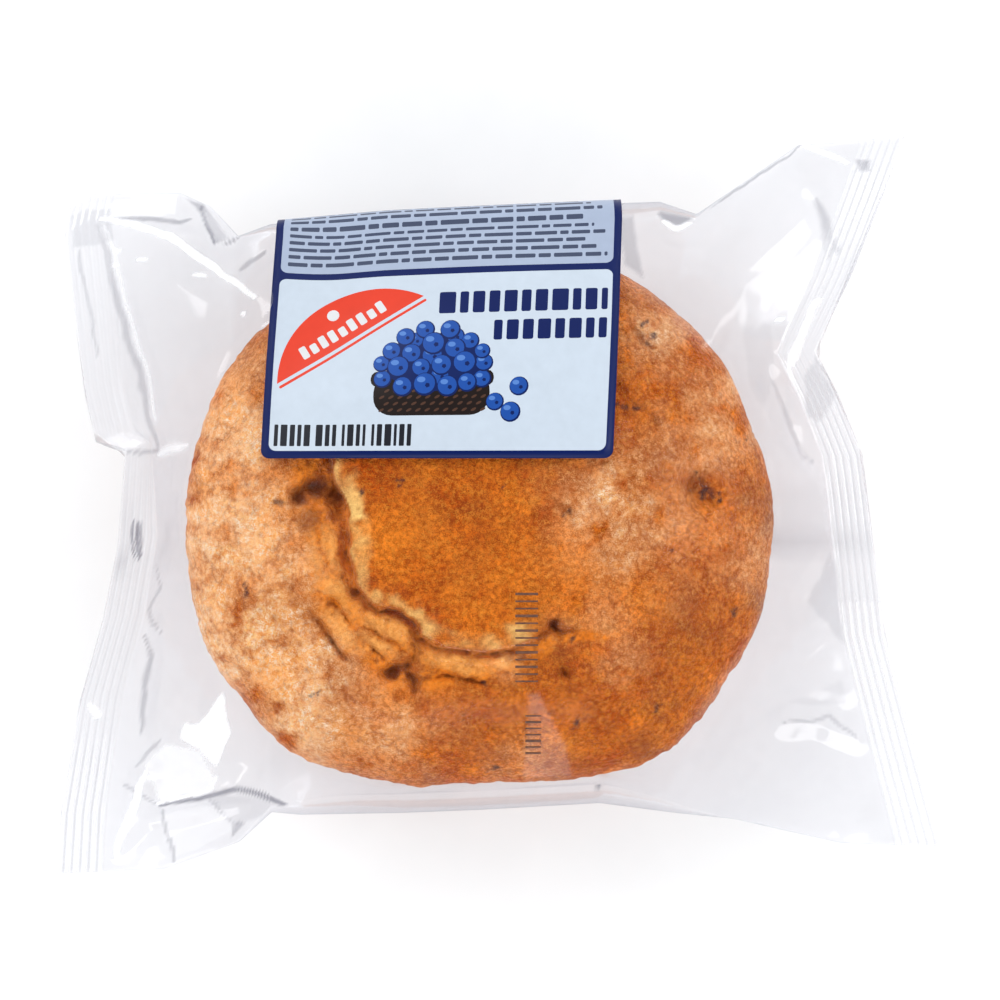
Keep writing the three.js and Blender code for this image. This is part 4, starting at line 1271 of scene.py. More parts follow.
# %% Draw the creases and facets
# Each crease: its points, its painted tone (a glint if positive, shade if negative) and its width
CREASES = [
    ([(-73.1, 52.4), (-66.1, 51.0), (-60.1, 48.8), (-54.6, 44.9), (-49.1, 41.3), (-44.0, 37.4)], 1.0, 0.9),
    ([(-71.6, 52.2), (-63.9, 52.4), (-58.3, 51.5), (-56.3, 52.2)], -0.6, 0.7),
    ([(-73.6, 51.1), (-71.6, 45.1), (-70.3, 38.5), (-67.6, 29.8), (-65.6, 24.3), (-63.9, 15.5),
      (-62.1, 9.9)], -0.4, 1.1),
    ([(-72.3, 51.1), (-69.9, 44.4), (-68.5, 37.4), (-65.9, 29.4), (-63.7, 23.2), (-62.5, 15.5)], 0.3, 0.8),
    ([(-77.4, 46.8), (-75.4, 37.4), (-73.2, 27.0)], -0.35, 0.5),
    ([(-72.1, 11.0), (-68.1, 10.0), (-63.4, 9.5), (-61.9, 9.9)], -0.5, 0.6),
    ([(-61.9, 9.3), (-56.1, 10.8)], 0.4, 1.4), ([(-46.9, 42.2), (-42.4, 46.0)], -0.5, 0.8),
    ([(-50.0, 47.1), (-44.7, 50.6), (-40.9, 51.1)], -0.6, 0.5), ([(-54.6, 54.8), (-51.7, 47.3)], -0.9, 0.7),
    ([(-70.7, 46.6), (-69.4, 46.4)], 0.8, 0.5), ([(-71.0, 44.2), (-69.8, 44.0)], 0.8, 0.5),
    ([(-66.1, 44.9), (-64.3, 44.6)], 0.8, 0.5), ([(-55.3, 41.8), (-53.3, 41.6)], 0.8, 0.6),
    ([(-46.2, 34.5), (-45.7, 34.3)], 0.8, 0.6),
    ([(-62.5, -11.3), (-61.7, -15.2), (-64.1, -19.2), (-63.0, -21.7), (-61.2, -23.2)], -0.4, 0.5),
    ([(-64.7, -23.7), (-63.7, -27.8), (-64.7, -32.3), (-65.6, -41.5)], -0.5, 0.9),
    ([(-66.3, -47.5), (-61.7, -42.9)], -0.4, 0.6),
    ([(-62.8, -54.6), (-52.6, -52.1), (-51.3, -49.5)], 0.9, 0.5),
    ([(-62.1, -55.0), (-55.2, -53.7), (-47.3, -51.7), (-43.3, -53.0), (-39.4, -55.0),
      (-35.4, -56.3)], -1.0, 0.8),
    ([(-64.5, -48.8), (-66.1, -52.8), (-67.8, -57.3), (-69.6, -60.6), (-70.7, -65.2)], 1.0, 0.9),
    ([(-62.1, -55.3), (-59.7, -65.9)], -0.5, 0.5), ([(-53.9, -52.8), (-48.0, -59.4)], -0.4, 0.5),
    ([(-69.4, -51.3), (-65.0, -53.3), (-62.8, -54.6)], -0.4, 0.6),
    ([(-75.2, -36.9), (-73.4, -38.9)], 0.9, 1.1), ([(-66.8, -2.9), (-66.8, -10.0)], -1.0, 0.4),
    ([(-65.9, -2.9), (-65.9, -10.2)], -1.0, 0.5), ([(-65.2, -2.9), (-65.4, -9.3)], -0.9, 0.4),
    ([(29.8, 51.5), (32.1, 50.0), (34.9, 51.1)], 0.8, 0.6), ([(36.0, 52.6), (55.3, 65.6)], -0.5, 0.4),
    ([(56.1, 65.4), (61.2, 63.7), (63.7, 62.1)], 0.9, 0.6),
    ([(57.9, 55.7), (59.9, 50.0), (61.7, 46.2)], -0.4, 1.4), ([(50.0, 33.6), (51.9, 33.6)], 0.7, 0.5),
    ([(49.7, 22.5), (51.5, 17.4), (53.9, 11.7), (54.8, 9.1), (57.3, 7.9)], -0.28, 0.7),
    ([(57.7, 26.7), (66.3, 13.5)], -0.4, 0.4), ([(17.9, -50.6), (26.8, -54.6), (35.8, -56.6)], -0.9, 0.6),
    ([(51.9, -39.6), (57.5, -39.6), (60.3, -38.5), (62.8, -40.9), (65.7, -42.7)], -0.35, 0.6),
]
# Each facet: its outline and its painted tone (a glint if positive, shade if negative)
FACETS = [
    ([(-57.3, 56.1), (-54.1, 55.3), (-49.1, 48.4), (-51.7, 47.3), (-54.6, 53.3)], -0.55),
    ([(-78.7, 53.0), (-75.8, 54.4), (-71.0, 54.2), (-70.7, 48.4), (-74.7, 47.3), (-78.4, 47.3)], -0.25),
    ([(-49.7, -33.6), (-48.6, -41.5), (-51.3, -47.5), (-53.9, -44.7), (-58.1, -42.2), (-57.2, -39.6),
      (-54.8, -40.2), (-51.9, -36.3)], 1.0),
    ([(-65.0, -47.5), (-60.5, -43.5), (-53.9, -44.7), (-51.3, -49.5), (-52.6, -52.1),
      (-62.3, -54.2)], 0.35), ([(-49.3, -61.5), (-49.3, -59.0), (-47.7, -57.9), (-46.6, -58.6)], -0.6),
    ([(-62.1, -55.3), (-54.6, -53.9), (-48.0, -59.4), (-54.6, -63.0), (-59.7, -65.2)], 0.15),
    ([(-53.9, -52.8), (-43.7, -53.3), (-38.2, -55.3), (-46.6, -58.3), (-48.0, -59.4)], -0.2),
    ([(25.9, 54.8), (30.9, 55.3), (36.0, 52.6), (32.5, 50.2), (29.8, 51.5)], -0.7),
    ([(20.6, 54.1), (24.1, 54.1), (25.8, 40.5), (22.5, 42.9)], -0.4),
    ([(65.0, 63.0), (67.9, 63.0), (67.9, 60.8), (65.4, 60.8)], -0.6),
    ([(57.9, 55.7), (61.7, 46.2), (59.7, 44.4), (58.6, 48.4)], -0.25),
    ([(57.2, 38.0), (58.6, 37.4), (56.4, 32.0), (54.2, 26.1), (52.4, 24.3), (52.8, 27.9),
      (55.3, 33.1)], 0.7), ([(55.2, 23.7), (57.7, 26.3), (61.2, 19.9), (58.6, 14.8), (56.1, 16.1)], -0.3),
    ([(44.0, 32.0), (49.1, 33.4), (50.2, 22.8), (47.7, 17.4), (44.9, 21.0)], -0.1),
    ([(60.6, -8.2), (56.1, -17.5), (59.4, -21.7), (63.6, -26.3), (62.1, -16.4), (61.4, -10.4)], -0.2),
    ([(52.8, -36.0), (62.8, -31.8), (63.9, -36.7), (59.0, -36.7)], -0.1),
    ([(18.6, -51.0), (26.8, -54.2), (25.8, -55.0), (19.2, -53.9)], 0.9),
    ([(5.2, -33.2), (7.0, -33.2), (12.0, -43.0), (13.1, -49.0), (4.1, -49.0), (4.8, -42.1)], 0.07),
]


CREASE_STRAY = 0.25


def inside_outline(x, y, outline):
    inside = np.zeros(np.shape(x), dtype=bool)
    for (ax, ay), (bx, by) in zip(outline, outline[1:] + outline[:1]):
        if ay != by:
            crossed = ((ay > y) != (by > y)) & (x < ax + (y - ay) * (bx - ax) / (by - ay))
            inside ^= crossed
    return inside


def crease_tones(x, y):
    """The painted glints and the painted shade of the film at places x, y."""
    tones = {True: np.zeros(np.shape(x)), False: np.zeros(np.shape(x))}
    wx = x + CREASE_STRAY * rough_noise(x, y, 3.0, 301)
    wy = y + CREASE_STRAY * rough_noise(x, y, 3.0, 305)
    for line, tone, width in CREASES:
        away, _, share = near_line(wx, wy, line)
        taper = 0.35 + 0.65 * np.sin(np.pi * np.clip(share, 0.02, 0.98)) ** 0.5
        mark = abs(tone) * ease(-away, -width * taper, -0.25 * width * taper)
        tones[tone > 0] = np.maximum(tones[tone > 0], mark)
    for outline, tone in FACETS:
        away, _, _ = near_line(wx, wy, outline + outline[:1])
        inward = np.where(inside_outline(wx, wy, outline), away, -away)
        tones[tone > 0] = np.maximum(tones[tone > 0], abs(tone) * ease(inward, -0.25, 0.45))
    return tones[True], tones[False]


BACK_SEAL_MIDDLE = -2.9
BACK_SEAL_TILT = 0.031
BACK_SEAL_HALF = 5.5


def back_seal_tones(x, y):
    """The strip along the underside where the tube of film is welded: its haze, and painted shade along its
    two edges and between its ridges.
    """
    from_middle = np.abs(y - BACK_SEAL_MIDDLE - BACK_SEAL_TILT * x)
    inside = 1 - ease(from_middle, BACK_SEAL_HALF - 0.3, BACK_SEAL_HALF + 0.1)
    edge = np.exp(-(((from_middle - BACK_SEAL_HALF) / 0.4) ** 2))
    ridges = 0.5 + 0.5 * np.sin(2 * np.pi * from_middle / CRIMP_STEP)
    return inside * (0.03 + 0.05 * ridges), 0.32 * edge + 0.10 * inside * (1 - ridges)


low_glint, low_shade = back_seal_tones(low_x, low_y)
film_glint, film_shade = crease_tones(film_x, film_y)
# Painted glints on the crimp ridges and painted shade between them, brightest at the front right end
bright_end = (film_x > 0) & (film_y < -18)
film_glint = np.maximum(film_glint, np.clip(film_ridge, 0, 1) * np.where(bright_end, 0.8, 0.25))
film_shade = np.maximum(film_shade, np.clip(-film_ridge, 0, 1) * np.where(bright_end, 0.10, 0.28))
print(len(CREASES), "creases and", len(FACETS), "facets")

# %% [markdown]
# The film as one closed skin
#
# The top and the underside are joined round the front and back by a rounded edge, and at the ends by
# a hair's breadth, so that the bag is one closed skin that any light can be traced through.

# %% Join the sheets into the bag
EDGE_STEPS = 8


def edge_columns(x, y, high, low, way):
    """The points of the rounded edge from the top sheet to the lower one."""
    turns = np.arange(1, EDGE_STEPS) / EDGE_STEPS * np.pi
    z = lerp(low[:, None], high[:, None], 0.5 + 0.5 * np.cos(turns))
    out_y = y[:, None] + way * (edge_bulge(x)[:, None]) * np.sin(turns)
    return np.broadcast_to(x[:, None], z.shape), out_y, z


def ring_columns(top, low, back, front):
    return np.concatenate([top, back, low[:, ::-1], front[:, ::-1]], axis=1)


back = edge_columns(film_x[:, -1], film_y[:, -1], film_z[:, -1], low_z[:, -1], 1)
front = edge_columns(film_x[:, 0], film_y[:, 0], film_z[:, 0], low_z[:, 0], -1)
tops, lows = (film_x, film_y, film_z), (low_x, low_y, low_z)
ring_x, ring_y, ring_z = [ring_columns(*parts) for parts in zip(tops, lows, back, front)]
film_touch = 1 - ease(film_z - np.maximum(bare, film_floor), 0.3, 2.0)
film_touch = np.where(muffin_share < 1.02, film_touch, 0)
no_edge, no_touch = np.zeros_like(ring_x[:, : EDGE_STEPS - 1]), np.zeros_like(low_x)
film_values = {
    "seal": ring_columns(film_seal, low_seal, no_edge, no_edge),
    "glint": ring_columns(film_glint, low_glint, no_edge, no_edge),
    "shade": ring_columns(film_shade, low_shade, no_edge, no_edge),
    "touch": ring_columns(film_touch, no_touch, no_edge, no_edge),
}
ring_count, ring_size = ring_x.shape
wrapped = np.concatenate([np.arange(ring_size), [0]])
film_faces = []
for i in range(ring_count - 1):
    a, b = i * ring_size + wrapped, (i + 1) * ring_size + wrapped
    film_faces += np.stack([a[:-1], b[:-1], b[1:], a[1:]], axis=1).tolist()
film_faces.append(tuple(int(k) for k in wrapped[:-1]))
film_faces.append(tuple(int((ring_count - 1) * ring_size + k) for k in wrapped[:-1][::-1]))
film_points = np.stack([ring_x.ravel(), ring_y.ravel(), ring_z.ravel()], axis=1)
print("the film has", len(film_points), "points in", ring_count, "rings")

# %% [markdown]
# The film's finish
#
# Clear film is mostly seen by what it does at a slant: it mirrors more light, and passes less of what
# is behind it. So the clear part is darkened a little by how edge-on it is, a mirror is mixed in by
# Fresnel, and the crimped seals and sharp creases are milky. The creases' and facets' milky white is a
# painted glint, and their grey is painted shade.

# %% Film material
FILM_CLEAR = (0.945, 0.945, 0.958, 1)
FILM_SLANTED = (0.70, 0.71, 0.76, 1)
FILM_SHADE = (0.30, 0.30, 0.35, 1)
FILM_MILK = (0.93, 0.93, 0.95, 1)
FILM_GLINT = (1.0, 1.0, 1.0, 1)
FILM_LIT = (0.985, 0.985, 0.988, 1)
RIPPLE_SCALE = 160.0
RIPPLE_HEIGHT = 0.0003
SEAL_HAZE = 0.10
GLINT_HAZE = 0.9
MIRROR_ROUGHNESS = 0.12
FILM_IOR = 1.5
TOUCH_GLOSS = 0.12
MOST_GLOSS = 0.22


def film_finish():
    material, tree = new_material("clear_film")
    times = lambda a, b, top=False: math_node(tree, "MULTIPLY", a, b, clamp=top)
    add = lambda a, b, top=False: math_node(tree, "ADD", a, b, clamp=top)
    without = lambda mask: math_node(tree, "SUBTRACT", 1.0, mask)
    touch, seal, glint, shade = [attribute(tree, key) for key in ("touch", "seal", "glint", "shade")]
    height = noise(tree, RIPPLE_SCALE, 1.0)[0]
    ripple = {"Height": height, "Distance": RIPPLE_HEIGHT, "Strength": 0.25}
    bump = add_node(tree, "ShaderNodeBump", ripple).outputs[0]
    slant = add_node(tree, "ShaderNodeLayerWeight", {"Blend": 0.5, "Normal": bump}).outputs["Facing"]
    off_crust = without(math_node(tree, "MAXIMUM", touch, seal))
    slant = times(math_node(tree, "POWER", slant, 2.0), off_crust)
    clear = mix_color(tree, slant, FILM_CLEAR, FILM_SLANTED)
    # Painted shade of the drawn creases and facets
    clear = mix_color(tree, shade, clear, FILM_SHADE)
    passing = add_node(tree, "ShaderNodeBsdfTransparent", {"Color": clear})
    # Painted glints of the drawn creases and facets, milky white
    milk_tone = mix_color(tree, glint, FILM_MILK, FILM_GLINT)
    milk = add_node(tree, "ShaderNodeBsdfDiffuse", {"Color": milk_tone})
    cloud = grain(tree, 90.0, 0.5, 0.35, 0.75)
    haze = times(math_node(tree, "MULTIPLY_ADD", cloud, 0.03, 0.004), without(touch))
    haze = add(haze, times(seal, SEAL_HAZE))
    haze = add(haze, times(glint, GLINT_HAZE), True)
    body = add_node(tree, "ShaderNodeMixShader", {0: haze, 1: passing.outputs[0], 2: milk.outputs[0]})
    shine = {"Color": (1, 1, 1, 1), "Roughness": MIRROR_ROUGHNESS, "Normal": bump}
    mirror = add_node(tree, "ShaderNodeBsdfAnisotropic", shine)
    gloss = add_node(tree, "ShaderNodeFresnel", {"IOR": FILM_IOR, "Normal": bump}).outputs[0]
    gloss = times(gloss, map_range(tree, touch, 0.0, 1.0, 1.0, TOUCH_GLOSS), True)
    gloss = math_node(tree, "MINIMUM", gloss, MOST_GLOSS)
    seen = add_node(tree, "ShaderNodeMixShader", {0: gloss, 1: body.outputs[0], 2: mirror.outputs[0]})
    light = add_node(tree, "ShaderNodeLightPath").outputs
    unseen = math_node(tree, "MAXIMUM", light["Is Shadow Ray"], light["Is Diffuse Ray"])
    lit = add_node(tree, "ShaderNodeBsdfTransparent", {"Color": FILM_LIT})
    shader = add_node(tree, "ShaderNodeMixShader", {0: unseen, 1: seen.outputs[0], 2: lit.outputs[0]})
    return finish_material(material, tree, shader.outputs[0])


film_bag = new_piece("film_bag", film_points, film_faces, film_finish(), film_values)
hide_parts("sealed_bag")

# %% [markdown]
# Strokes printed on the film
#
# Two short rows of dark strokes are printed on the film over the front of the crown. Each is a thin bar
# with its points set just above the film, so that it follows the film's bend.

# %% Print strokes on the film
# Each row: where it starts and ends along Y, its reach along X, and the strokes' widths
STROKE_ROWS = [
    (-15.0, -31.8, (2.9, 6.9), (0.45, 0.3, 0.3, 0.5, 0.3, 0.45, 0.3, 0.3, 0.5, 0.3, 0.45, 0.3, 0.3)),
    (-36.8, -44.8, (4.7, 7.5), (0.3, 0.45, 0.3, 0.3, 0.5, 0.3, 0.4)),
]
STROKE_LIFT = 0.05
STROKE_THICK = 0.05
STROKE_STEPS = 6
STROKE_TONES = (0.075, 0.026, 0.012, 1), (0.150, 0.052, 0.022, 1)


def on_film(x, y):
    return sample(film_z, film_columns, film_rows, *shares_at(x, y))


def stroke_bars():
    points, faces = [], []
    for start, end, (left, right), widths in STROKE_ROWS:
        for k, width in enumerate(widths):
            middle = lerp(start, end, (k + 0.5) / len(widths))
            x = np.repeat(np.linspace(left, right, STROKE_STEPS + 1), 2)
            y = middle + np.tile([-0.5 * width, 0.5 * width], STROKE_STEPS + 1)
            z = on_film(x, y) + STROKE_LIFT
            first, size = len(points), len(x)
            for lift in (0, STROKE_THICK):
                points.extend(zip(x.tolist(), y.tolist(), (z + lift).tolist()))
            for step in range(STROKE_STEPS):
                a = first + 2 * step
                b = a + size
                faces += [(a, a + 1, a + 3, a + 2), (b, b + 2, b + 3, b + 1)]
                faces += [(a, a + 2, b + 2, b), (a + 1, b + 1, b + 3, a + 3)]
            a, b = first, first + size
            faces.append((a, b, b + 1, a + 1))
            a, b = first + size - 2, first + 2 * size - 2
            faces.append((a, a + 1, b + 1, b))
    return np.array(points), faces


def stroke_finish():
    material, tree = new_material("film_ink")
    tone = mix_color(tree, grain(tree, 900.0, 0.5, 0.40, 0.60), *STROKE_TONES)
    shader = add_node(tree, "ShaderNodeBsdfPrincipled", {"Base Color": tone, "Roughness": 0.6})
    return finish_material(material, tree, shader.outputs[0])


strokes = new_piece("film_strokes", *stroke_bars(), stroke_finish())
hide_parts("sealed_bag")
print(len(strokes.data.vertices) // (4 * STROKE_STEPS + 4), "strokes on the film")

# %% [markdown]
# The label's path over the bag
#
# The label is a strip that lies on the film: it starts on the crown, climbs down the back shoulder, turns
# round the back edge and ends underneath. Its sheet is followed line by line over the bag, and points are
# set along each line at even lengths, so that a flat drawing in label millimetres bends onto the bag
# without stretching.

# %% Follow the bag for the label
LABEL_LEFT = -42.0
LABEL_RIGHT = 20.0
LABEL_FRONT = 8.2
LABEL_LEAN = 0.048
LABEL_WIDTH = 62.0
LABEL_LENGTH = 68.0
LABEL_LIFT = 0.55
LABEL_THICK = 0.12
PATH_COLUMNS = 41
PATH_ROWS = 69
PAPER_STIFFNESS = 60
TUCKED_UNDER = 22
OVER_POINTS, TURN_POINTS, UNDER_POINTS = 120, 24, 60


def blurred(field, times):
    """A field with its small relief smoothed away, as stiff paper bridges it."""
    for _ in range(times):
        padded = np.pad(field, 1, mode="edge")
        field = (padded[:-2, 1:-1] + padded[2:, 1:-1] + padded[1:-1, :-2] + padded[1:-1, 2:] + 4 * field) / 8
    return field


def bridged(y, z):
    """The upper hull of a profile: a stiff sheet spans the places where the film sags."""
    kept = []
    for point in zip(y, z):
        while len(kept) > 1:
            (ay, az), (by, bz) = kept[-2:]
            if (by - ay) * (point[1] - az) < (point[0] - ay) * (bz - az):
                break
            kept.pop()
        kept.append(point)
    hull = np.array(kept)
    return np.interp(y, hull[:, 0], hull[:, 1])


def label_path():
    """Places of the label's sheet: columns from left to right, each with points from front to back."""
    smooth_z = blurred(flat_film_z, PAPER_STIFFNESS)
    lines = []
    for share in np.linspace(0, 1, PATH_COLUMNS):
        start_x = lerp(LABEL_LEFT, LABEL_RIGHT, share)
        edge_x = start_x + LABEL_LEAN * 44
        edge_y = float(line_at(BACK_EDGE, 0, edge_x)[1] - edge_bulge(edge_x))
        y = np.linspace(LABEL_FRONT, edge_y, OVER_POINTS)
        x = start_x + LABEL_LEAN * (y - LABEL_FRONT)
        over_z = bridged(y, sample(smooth_z, film_columns, film_rows, *shares_at(x, y)))
        under_y = np.linspace(edge_y, edge_y - TUCKED_UNDER, UNDER_POINTS)
        under_x = np.full_like(under_y, x[-1])
        under_z = sample(low_z, film_columns, low_rows, *shares_at(under_x, under_y))
        turns = np.linspace(0, np.pi, TURN_POINTS)[1:-1]
        turn_x = np.full_like(turns, x[-1])
        turn_y = edge_y + edge_bulge(x[-1]) * np.sin(turns)
        turn_z = lerp(under_z[0], over_z[-1], 0.5 + 0.5 * np.cos(turns))
        parts = (x, turn_x, under_x), (y, turn_y, under_y), (over_z, turn_z, under_z)
        lines.append(np.stack([np.concatenate(part) for part in parts], axis=1))
    # The middle line sets the places of the rows, so that each row runs straight across the label
    middle = lines[PATH_COLUMNS // 2]
    lengths = np.concatenate([[0], np.cumsum(np.linalg.norm(np.diff(middle, axis=0), axis=1))])
    numbers = np.arange(len(middle))
    at_row = np.interp(np.linspace(0, LABEL_LENGTH, PATH_ROWS), lengths, numbers)
    row_points = lambda line: np.stack([np.interp(at_row, numbers, line[:, k]) for k in range(3)], axis=1)
    places = np.array([row_points(line) for line in lines])
    along, across = np.gradient(places, axis=1), np.gradient(places, axis=0)
    normals = np.cross(across, along)
    normals /= np.linalg.norm(normals, axis=2, keepdims=True)
    return places, normals


label_places, label_normals = label_path()
print("the label's back end is", np.round(label_places[PATH_COLUMNS // 2, -1], 1))


def on_label(a, b, lift):
    """Where the flat label's place comes to lie: a is from its left and b from its front."""
    u = np.clip(np.asarray(a) / LABEL_WIDTH, 0, 1) * (PATH_COLUMNS - 1)
    v = np.clip(np.asarray(b) / LABEL_LENGTH, 0, 1) * (PATH_ROWS - 1)
    i, j = np.minimum(u.astype(int), PATH_COLUMNS - 2), np.minimum(v.astype(int), PATH_ROWS - 2)
    fu, fv = (u - i)[:, None], (v - j)[:, None]
    blend = lambda f: between_corners(lambda di, dj: f[i + di, j + dj], fu, fv)
    return blend(label_places) + lift * blend(label_normals)


# %% [markdown]
# The label's print
#
# The print is a drawing of closed outlines: a dark blue frame with round corners, two pale panels, a
# badge, a basket of berries, and rows of plain blocks of colour. The outlines are cut into the label's
# own mesh, and each field of colour gets its own ink. Cut edges stay sharp at any distance, where a
# painted picture would blur.

# %% Draw the label flat
def rounded_box(x0, y0, x1, y1, radius, steps=5):
    """A rectangle with round corners, anticlockwise."""
    radius = min(radius, (x1 - x0) / 2 - 1e-3, (y1 - y0) / 2 - 1e-3)
    outline = []
    for cx, cy, first in (
        (x1 - radius, y0 + radius, -90), (x1 - radius, y1 - radius, 0),
        (x0 + radius, y1 - radius, 90), (x0 + radius, y0 + radius, 180),
    ):
        for k in range(steps + 1):
            turn = math.radians(first + 90 * k / steps)
            outline.append((cx + radius * math.cos(turn), cy + radius * math.sin(turn)))
    return outline


def ring_outline(cx, cy, radius, count, stretch=1.0, turn=0.0):
    """A circle or an ellipse."""
    cos, sin = math.cos(turn), math.sin(turn)
    outline = []
    for k in range(count):
        way = 2 * math.pi * k / count
        u, v = radius * math.cos(way), radius * stretch * math.sin(way)
        outline.append((cx + u * cos - v * sin, cy + u * sin + v * cos))
    return outline


def block_row(x0, x1, y0, y1, lengths, gap, radius):
    """A row of blocks of the given lengths, repeated to fill the row."""
    blocks, x, k = [], x0, 0
    while x < x1 - 0.4:
        length = lengths[k % len(lengths)]
        blocks.append(rounded_box(x, y0, min(x + length, x1), y1, radius, 2))
        x, k = x + length + gap, k + 1
    return blocks


BORDER = 1.35
PANEL_CORNER = 1.3
DIVIDER = (34.2, 35.6)
BERRY_SPOTS = [
    (29.5, 18.3, 1.9), (33.4, 21.8, 1.6), (26.4, 21.2, 1.5), (31.0, 14.6, 1.7), (20.9, 14.2, 1.6),
    (38.4, 14.0, 1.6), (20.6, 17.0, 1.5), (38.6, 16.9, 1.6), (24.6, 21.9, 1.7), (28.0, 23.2, 1.7),
    (32.4, 23.1, 1.8), (36.0, 20.9, 1.6), (22.3, 19.3, 1.7), (38.2, 19.0, 1.4), (25.8, 18.8, 1.8),
    (29.6, 20.6, 2.1), (33.4, 19.6, 1.9), (23.6, 16.4, 2.0), (27.6, 16.2, 1.7), (31.2, 16.6, 1.9),
    (35.2, 17.0, 2.1), (24.5, 12.8, 1.8), (28.4, 13.2, 2.1), (32.4, 12.8, 1.9), (35.8, 13.4, 1.7),
    (44.9, 12.6, 1.7), (40.8, 9.9, 1.6), (43.6, 8.1, 1.8),
]


def turned(outline, cx, cy, degrees):
    """An outline about its own zero, turned and moved to cx, cy."""
    cos, sin = math.cos(math.radians(degrees)), math.sin(math.radians(degrees))
    return [(cx + x * cos - y * sin, cy + x * sin + y * cos) for x, y in outline]


def round_segment(half_chord, rise, steps=40):
    """The piece that a straight line cuts from a disc, with its middle on the line at zero."""
    radius = (half_chord**2 + rise**2) / (2 * rise)
    reach = math.asin(half_chord / radius)
    turns = [lerp(reach, -reach, k / steps) for k in range(steps + 1)]
    return [(radius * math.sin(t), radius * math.cos(t) - radius + rise) for t in turns]


prints = []


def draw(ink, *outlines):
    prints.append((ink, list(outlines)))


def draw_badge():
    """A half round badge: its straight line, a row of bars and a dot."""
    on_badge = lambda outline: turned(outline, *BADGE_PLACE, BADGE_TURN)
    draw("red_ink", on_badge(round_segment(15.0, 8.6)))
    draw("red_ink", on_badge(rounded_box(-15.0, -1.1, 15.0, -0.6, 0.2, 2)))
    for k in range(9):
        bar = rounded_box(-8.6 + 1.95 * k, 1.3, -7.3 + 1.95 * k, 3.7 - 0.5 * (k % 3 == 1), 0.25, 2)
        draw("white_ink", on_badge(bar))
    draw("white_ink", on_badge(ring_outline(0, 6.0, 1.1, 16)))


def draw_basket():
    draw("twig_ink", rounded_box(19.4, 7.6, 39.8, 15.2, 3.4, 6), rounded_box(18.8, 12.8, 40.4, 15.6, 1.2, 3))
    for row in range(4):
        for k in range(12 - row % 2):
            x, y = 20.9 + 0.85 * (row % 2) + 1.62 * k, 8.6 + 1.15 * row
            draw("weave_ink", ring_outline(x, y, 0.55, 8, stretch=0.42, turn=0.5))
    draw("berry_rim_ink", ring_outline(29.7, 17.2, 8.6, 32, stretch=0.62))
    for x, y, reach in BERRY_SPOTS:
        draw("berry_rim_ink", ring_outline(x, y, reach, 18))
        draw("berry_ink", ring_outline(x - 0.10, y + 0.12, reach * 0.88, 18))
        glow_x, glow_y = x - 0.34 * reach, y + 0.40 * reach
        draw("berry_glow_ink", ring_outline(glow_x, glow_y, reach * 0.36, 10, stretch=0.7))
        draw("berry_rim_ink", ring_outline(x + 0.2 * reach, y - 0.1 * reach, reach * 0.22, 5, turn=x))


def draw_small_rows():
    for row in range(SMALL_ROWS):
        y = DIVIDER[1] + 1.6 + row * SMALL_ROW_PITCH
        widths = SMALL_WIDTHS[row % 7:] + SMALL_WIDTHS[: row % 7]
        right = 59.6 - (row * 37 % 11) * 0.5
        draw("small_ink", *block_row(2.6, right, y, y + 0.95, widths, 0.55, 0.2))


# %% Draw the panels, the badge, the basket and the rows of blocks
BADGE_PLACE = (14.8, 21.6)
BADGE_TURN = 33.0
TITLE_WIDTHS = (2.9, 1.5, 2.1, 1.9, 2.3, 1.7, 2.2)
# Bars at the front: where each group starts and ends, and the widths of its bars
BAR_GROUPS = [
    (2.2, 8.6, (0.7, 1.2, 0.9)), (9.6, 13.2, (1.2, 0.8)), (14.2, 18.4, (0.5, 1.1, 0.7)),
    (19.4, 26.4, (0.5, 0.9, 1.2)),
]
SMALL_ROWS = 15
SMALL_ROW_PITCH = 1.9
SMALL_WIDTHS = (3.6, 2.2, 5.1, 2.8, 4.0, 1.5, 3.3, 2.5, 4.6, 1.9, 3.0)
PANEL_RIGHT = LABEL_WIDTH - BORDER
draw("navy_ink", rounded_box(0, 0, LABEL_WIDTH, LABEL_LENGTH, 1.5))
draw("pale_panel", rounded_box(BORDER, BORDER, PANEL_RIGHT, DIVIDER[0], PANEL_CORNER))
draw("back_panel", rounded_box(BORDER, DIVIDER[1], PANEL_RIGHT, LABEL_LENGTH - BORDER, PANEL_CORNER))
draw_badge()
draw_basket()
draw("navy_ink", *block_row(30.2, 59.9, 26.2, 30.4, TITLE_WIDTHS, 0.75, 0.3))
draw("navy_ink", *block_row(40.0, 59.9, 21.0, 24.7, TITLE_WIDTHS[1:], 0.75, 0.3))
for left, right, widths in BAR_GROUPS:
    draw("dark_ink", *block_row(left, right, 2.2, 6.1, widths, 0.45, 0.15))
draw_small_rows()
print(sum(len(outlines) for _, outlines in prints), "outlines on the label")

# %% [markdown]
# Cutting the drawing into the mesh
#
# A constrained triangulation takes all the outlines at once, and a lattice of points so that the sheet
# can bend, and says for each triangle which outlines hold it. The last outline drawn wins, as
# ink printed over ink does.

# %% Cut the label and print it
INKS = {
    "navy_ink": (0.0020, 0.0100, 0.0850, 1),
    "pale_panel": (0.507, 0.573, 0.649, 1),
    "back_panel": (0.345, 0.404, 0.524, 1),
    "red_ink": (0.660, 0.044, 0.018, 1),
    "white_ink": (0.640, 0.640, 0.650, 1),
    "twig_ink": (0.014, 0.009, 0.008, 1),
    "weave_ink": (0.075, 0.036, 0.024, 1),
    "berry_ink": (0.014, 0.070, 0.320, 1),
    "berry_rim_ink": (0.004, 0.014, 0.090, 1),
    "berry_glow_ink": (0.085, 0.200, 0.520, 1),
    "dark_ink": (0.014, 0.015, 0.021, 1),
    "small_ink": (0.052, 0.066, 0.114, 1),
}


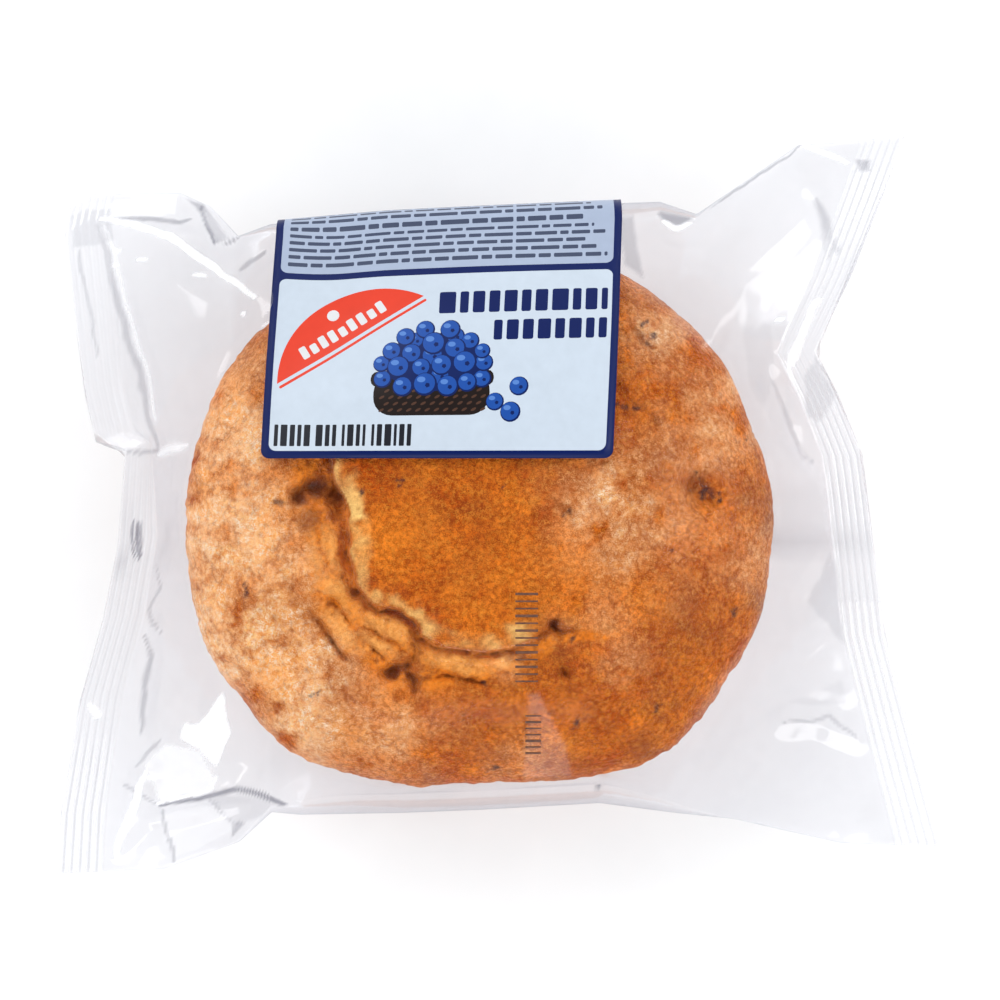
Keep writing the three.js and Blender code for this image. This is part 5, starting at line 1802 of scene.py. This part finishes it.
INK_SHINE = 0.14
LONGEST_EDGE = 1.6
LATTICE_EDGE = 1.7
LATTICE_STEPS = (1.9, 1.3)


def ink_finish(name, color):
    """Gloss ink on a smooth label: even, but for a faint cloudiness."""
    material, tree = new_material(name)
    cloud = grain(tree, 160.0, 0.5, 0.30, 0.70)
    darker = tuple(0.93 * c for c in color[:3]) + (1,)
    tone = mix_color(tree, cloud, darker, color)
    roughness = map_range(tree, cloud, 0.0, 1.0, 0.30, 0.38)
    waves = {"Height": noise(tree, 130.0, 1.0)[0], "Distance": 0.0004, "Strength": 0.25}
    bump = add_node(tree, "ShaderNodeBump", waves).outputs[0]
    inputs = {"Base Color": tone, "Roughness": roughness, "Normal": bump, "Specular IOR Level": INK_SHINE}
    shader = add_node(tree, "ShaderNodeBsdfPrincipled", inputs)
    return finish_material(material, tree, shader.outputs[0])


def fine_steps(outline, longest):
    """The same outline with its long edges divided, so that it can bend."""
    points = []
    for (ax, ay), (bx, by) in zip(outline, outline[1:] + outline[:1]):
        pieces = max(1, math.ceil(math.hypot(bx - ax, by - ay) / longest))
        points += [(lerp(ax, bx, k / pieces), lerp(ay, by, k / pieces)) for k in range(pieces)]
    return points


def cut_label():
    """The drawing as flat points, triangles and the ink of each triangle."""
    places, outlines, inks = [], [], []
    for ink, shapes in prints:
        for shape in [fine_steps(flat_shape, LONGEST_EDGE) for flat_shape in shapes]:
            outlines.append(list(range(len(places), len(places) + len(shape))))
            places += shape
            inks.append(ink)
    for a in np.arange(LATTICE_EDGE, LABEL_WIDTH - LONGEST_EDGE, LATTICE_STEPS[0]):
        column = np.arange(LATTICE_EDGE, LABEL_LENGTH - LONGEST_EDGE, LATTICE_STEPS[1])
        places += [(float(a), float(b)) for b in column]
    made = delaunay_2d_cdt([Vector(p) for p in places], [], outlines, 1, 1e-5)
    names = list(INKS)
    triangles, ink_numbers = [], []
    for triangle, held_by in zip(made[2], made[5]):
        if held_by:
            triangles.append(tuple(triangle))
            ink_numbers.append(names.index(inks[max(held_by)]))
    return np.array([tuple(v) for v in made[0]]), triangles, ink_numbers


flat, label_triangles, label_inks = cut_label()
outer = on_label(flat[:, 0], flat[:, 1], LABEL_LIFT + LABEL_THICK)
inner = on_label(flat[:, 0], flat[:, 1], LABEL_LIFT)
below = [tuple(len(flat) + k for k in reversed(t)) for t in label_triangles]
edges = {(t[k], t[(k + 1) % 3]): True for t in label_triangles for k in range(3)}
rims = [(a, b) for a, b in edges if (b, a) not in edges]
sides = [(b, a, a + len(flat), b + len(flat)) for a, b in rims]
print("the label has", len(flat), "flat points and", len(rims), "rim edges")

# %% The label's sheet and its inks
ink_materials = [ink_finish(name, color) for name, color in INKS.items()]
label_faces = label_triangles + below + sides
label = new_piece("label_sheet", np.concatenate([outer, inner]), label_faces, ink_materials[0])
for material in ink_materials[1:]:
    label.data.materials.append(material)
back_of_label = list(INKS).index("white_ink")
numbers = label_inks + [back_of_label] * len(below) + [0] * len(sides)
label.data.polygons.foreach_set("material_index", numbers)
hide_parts("label")
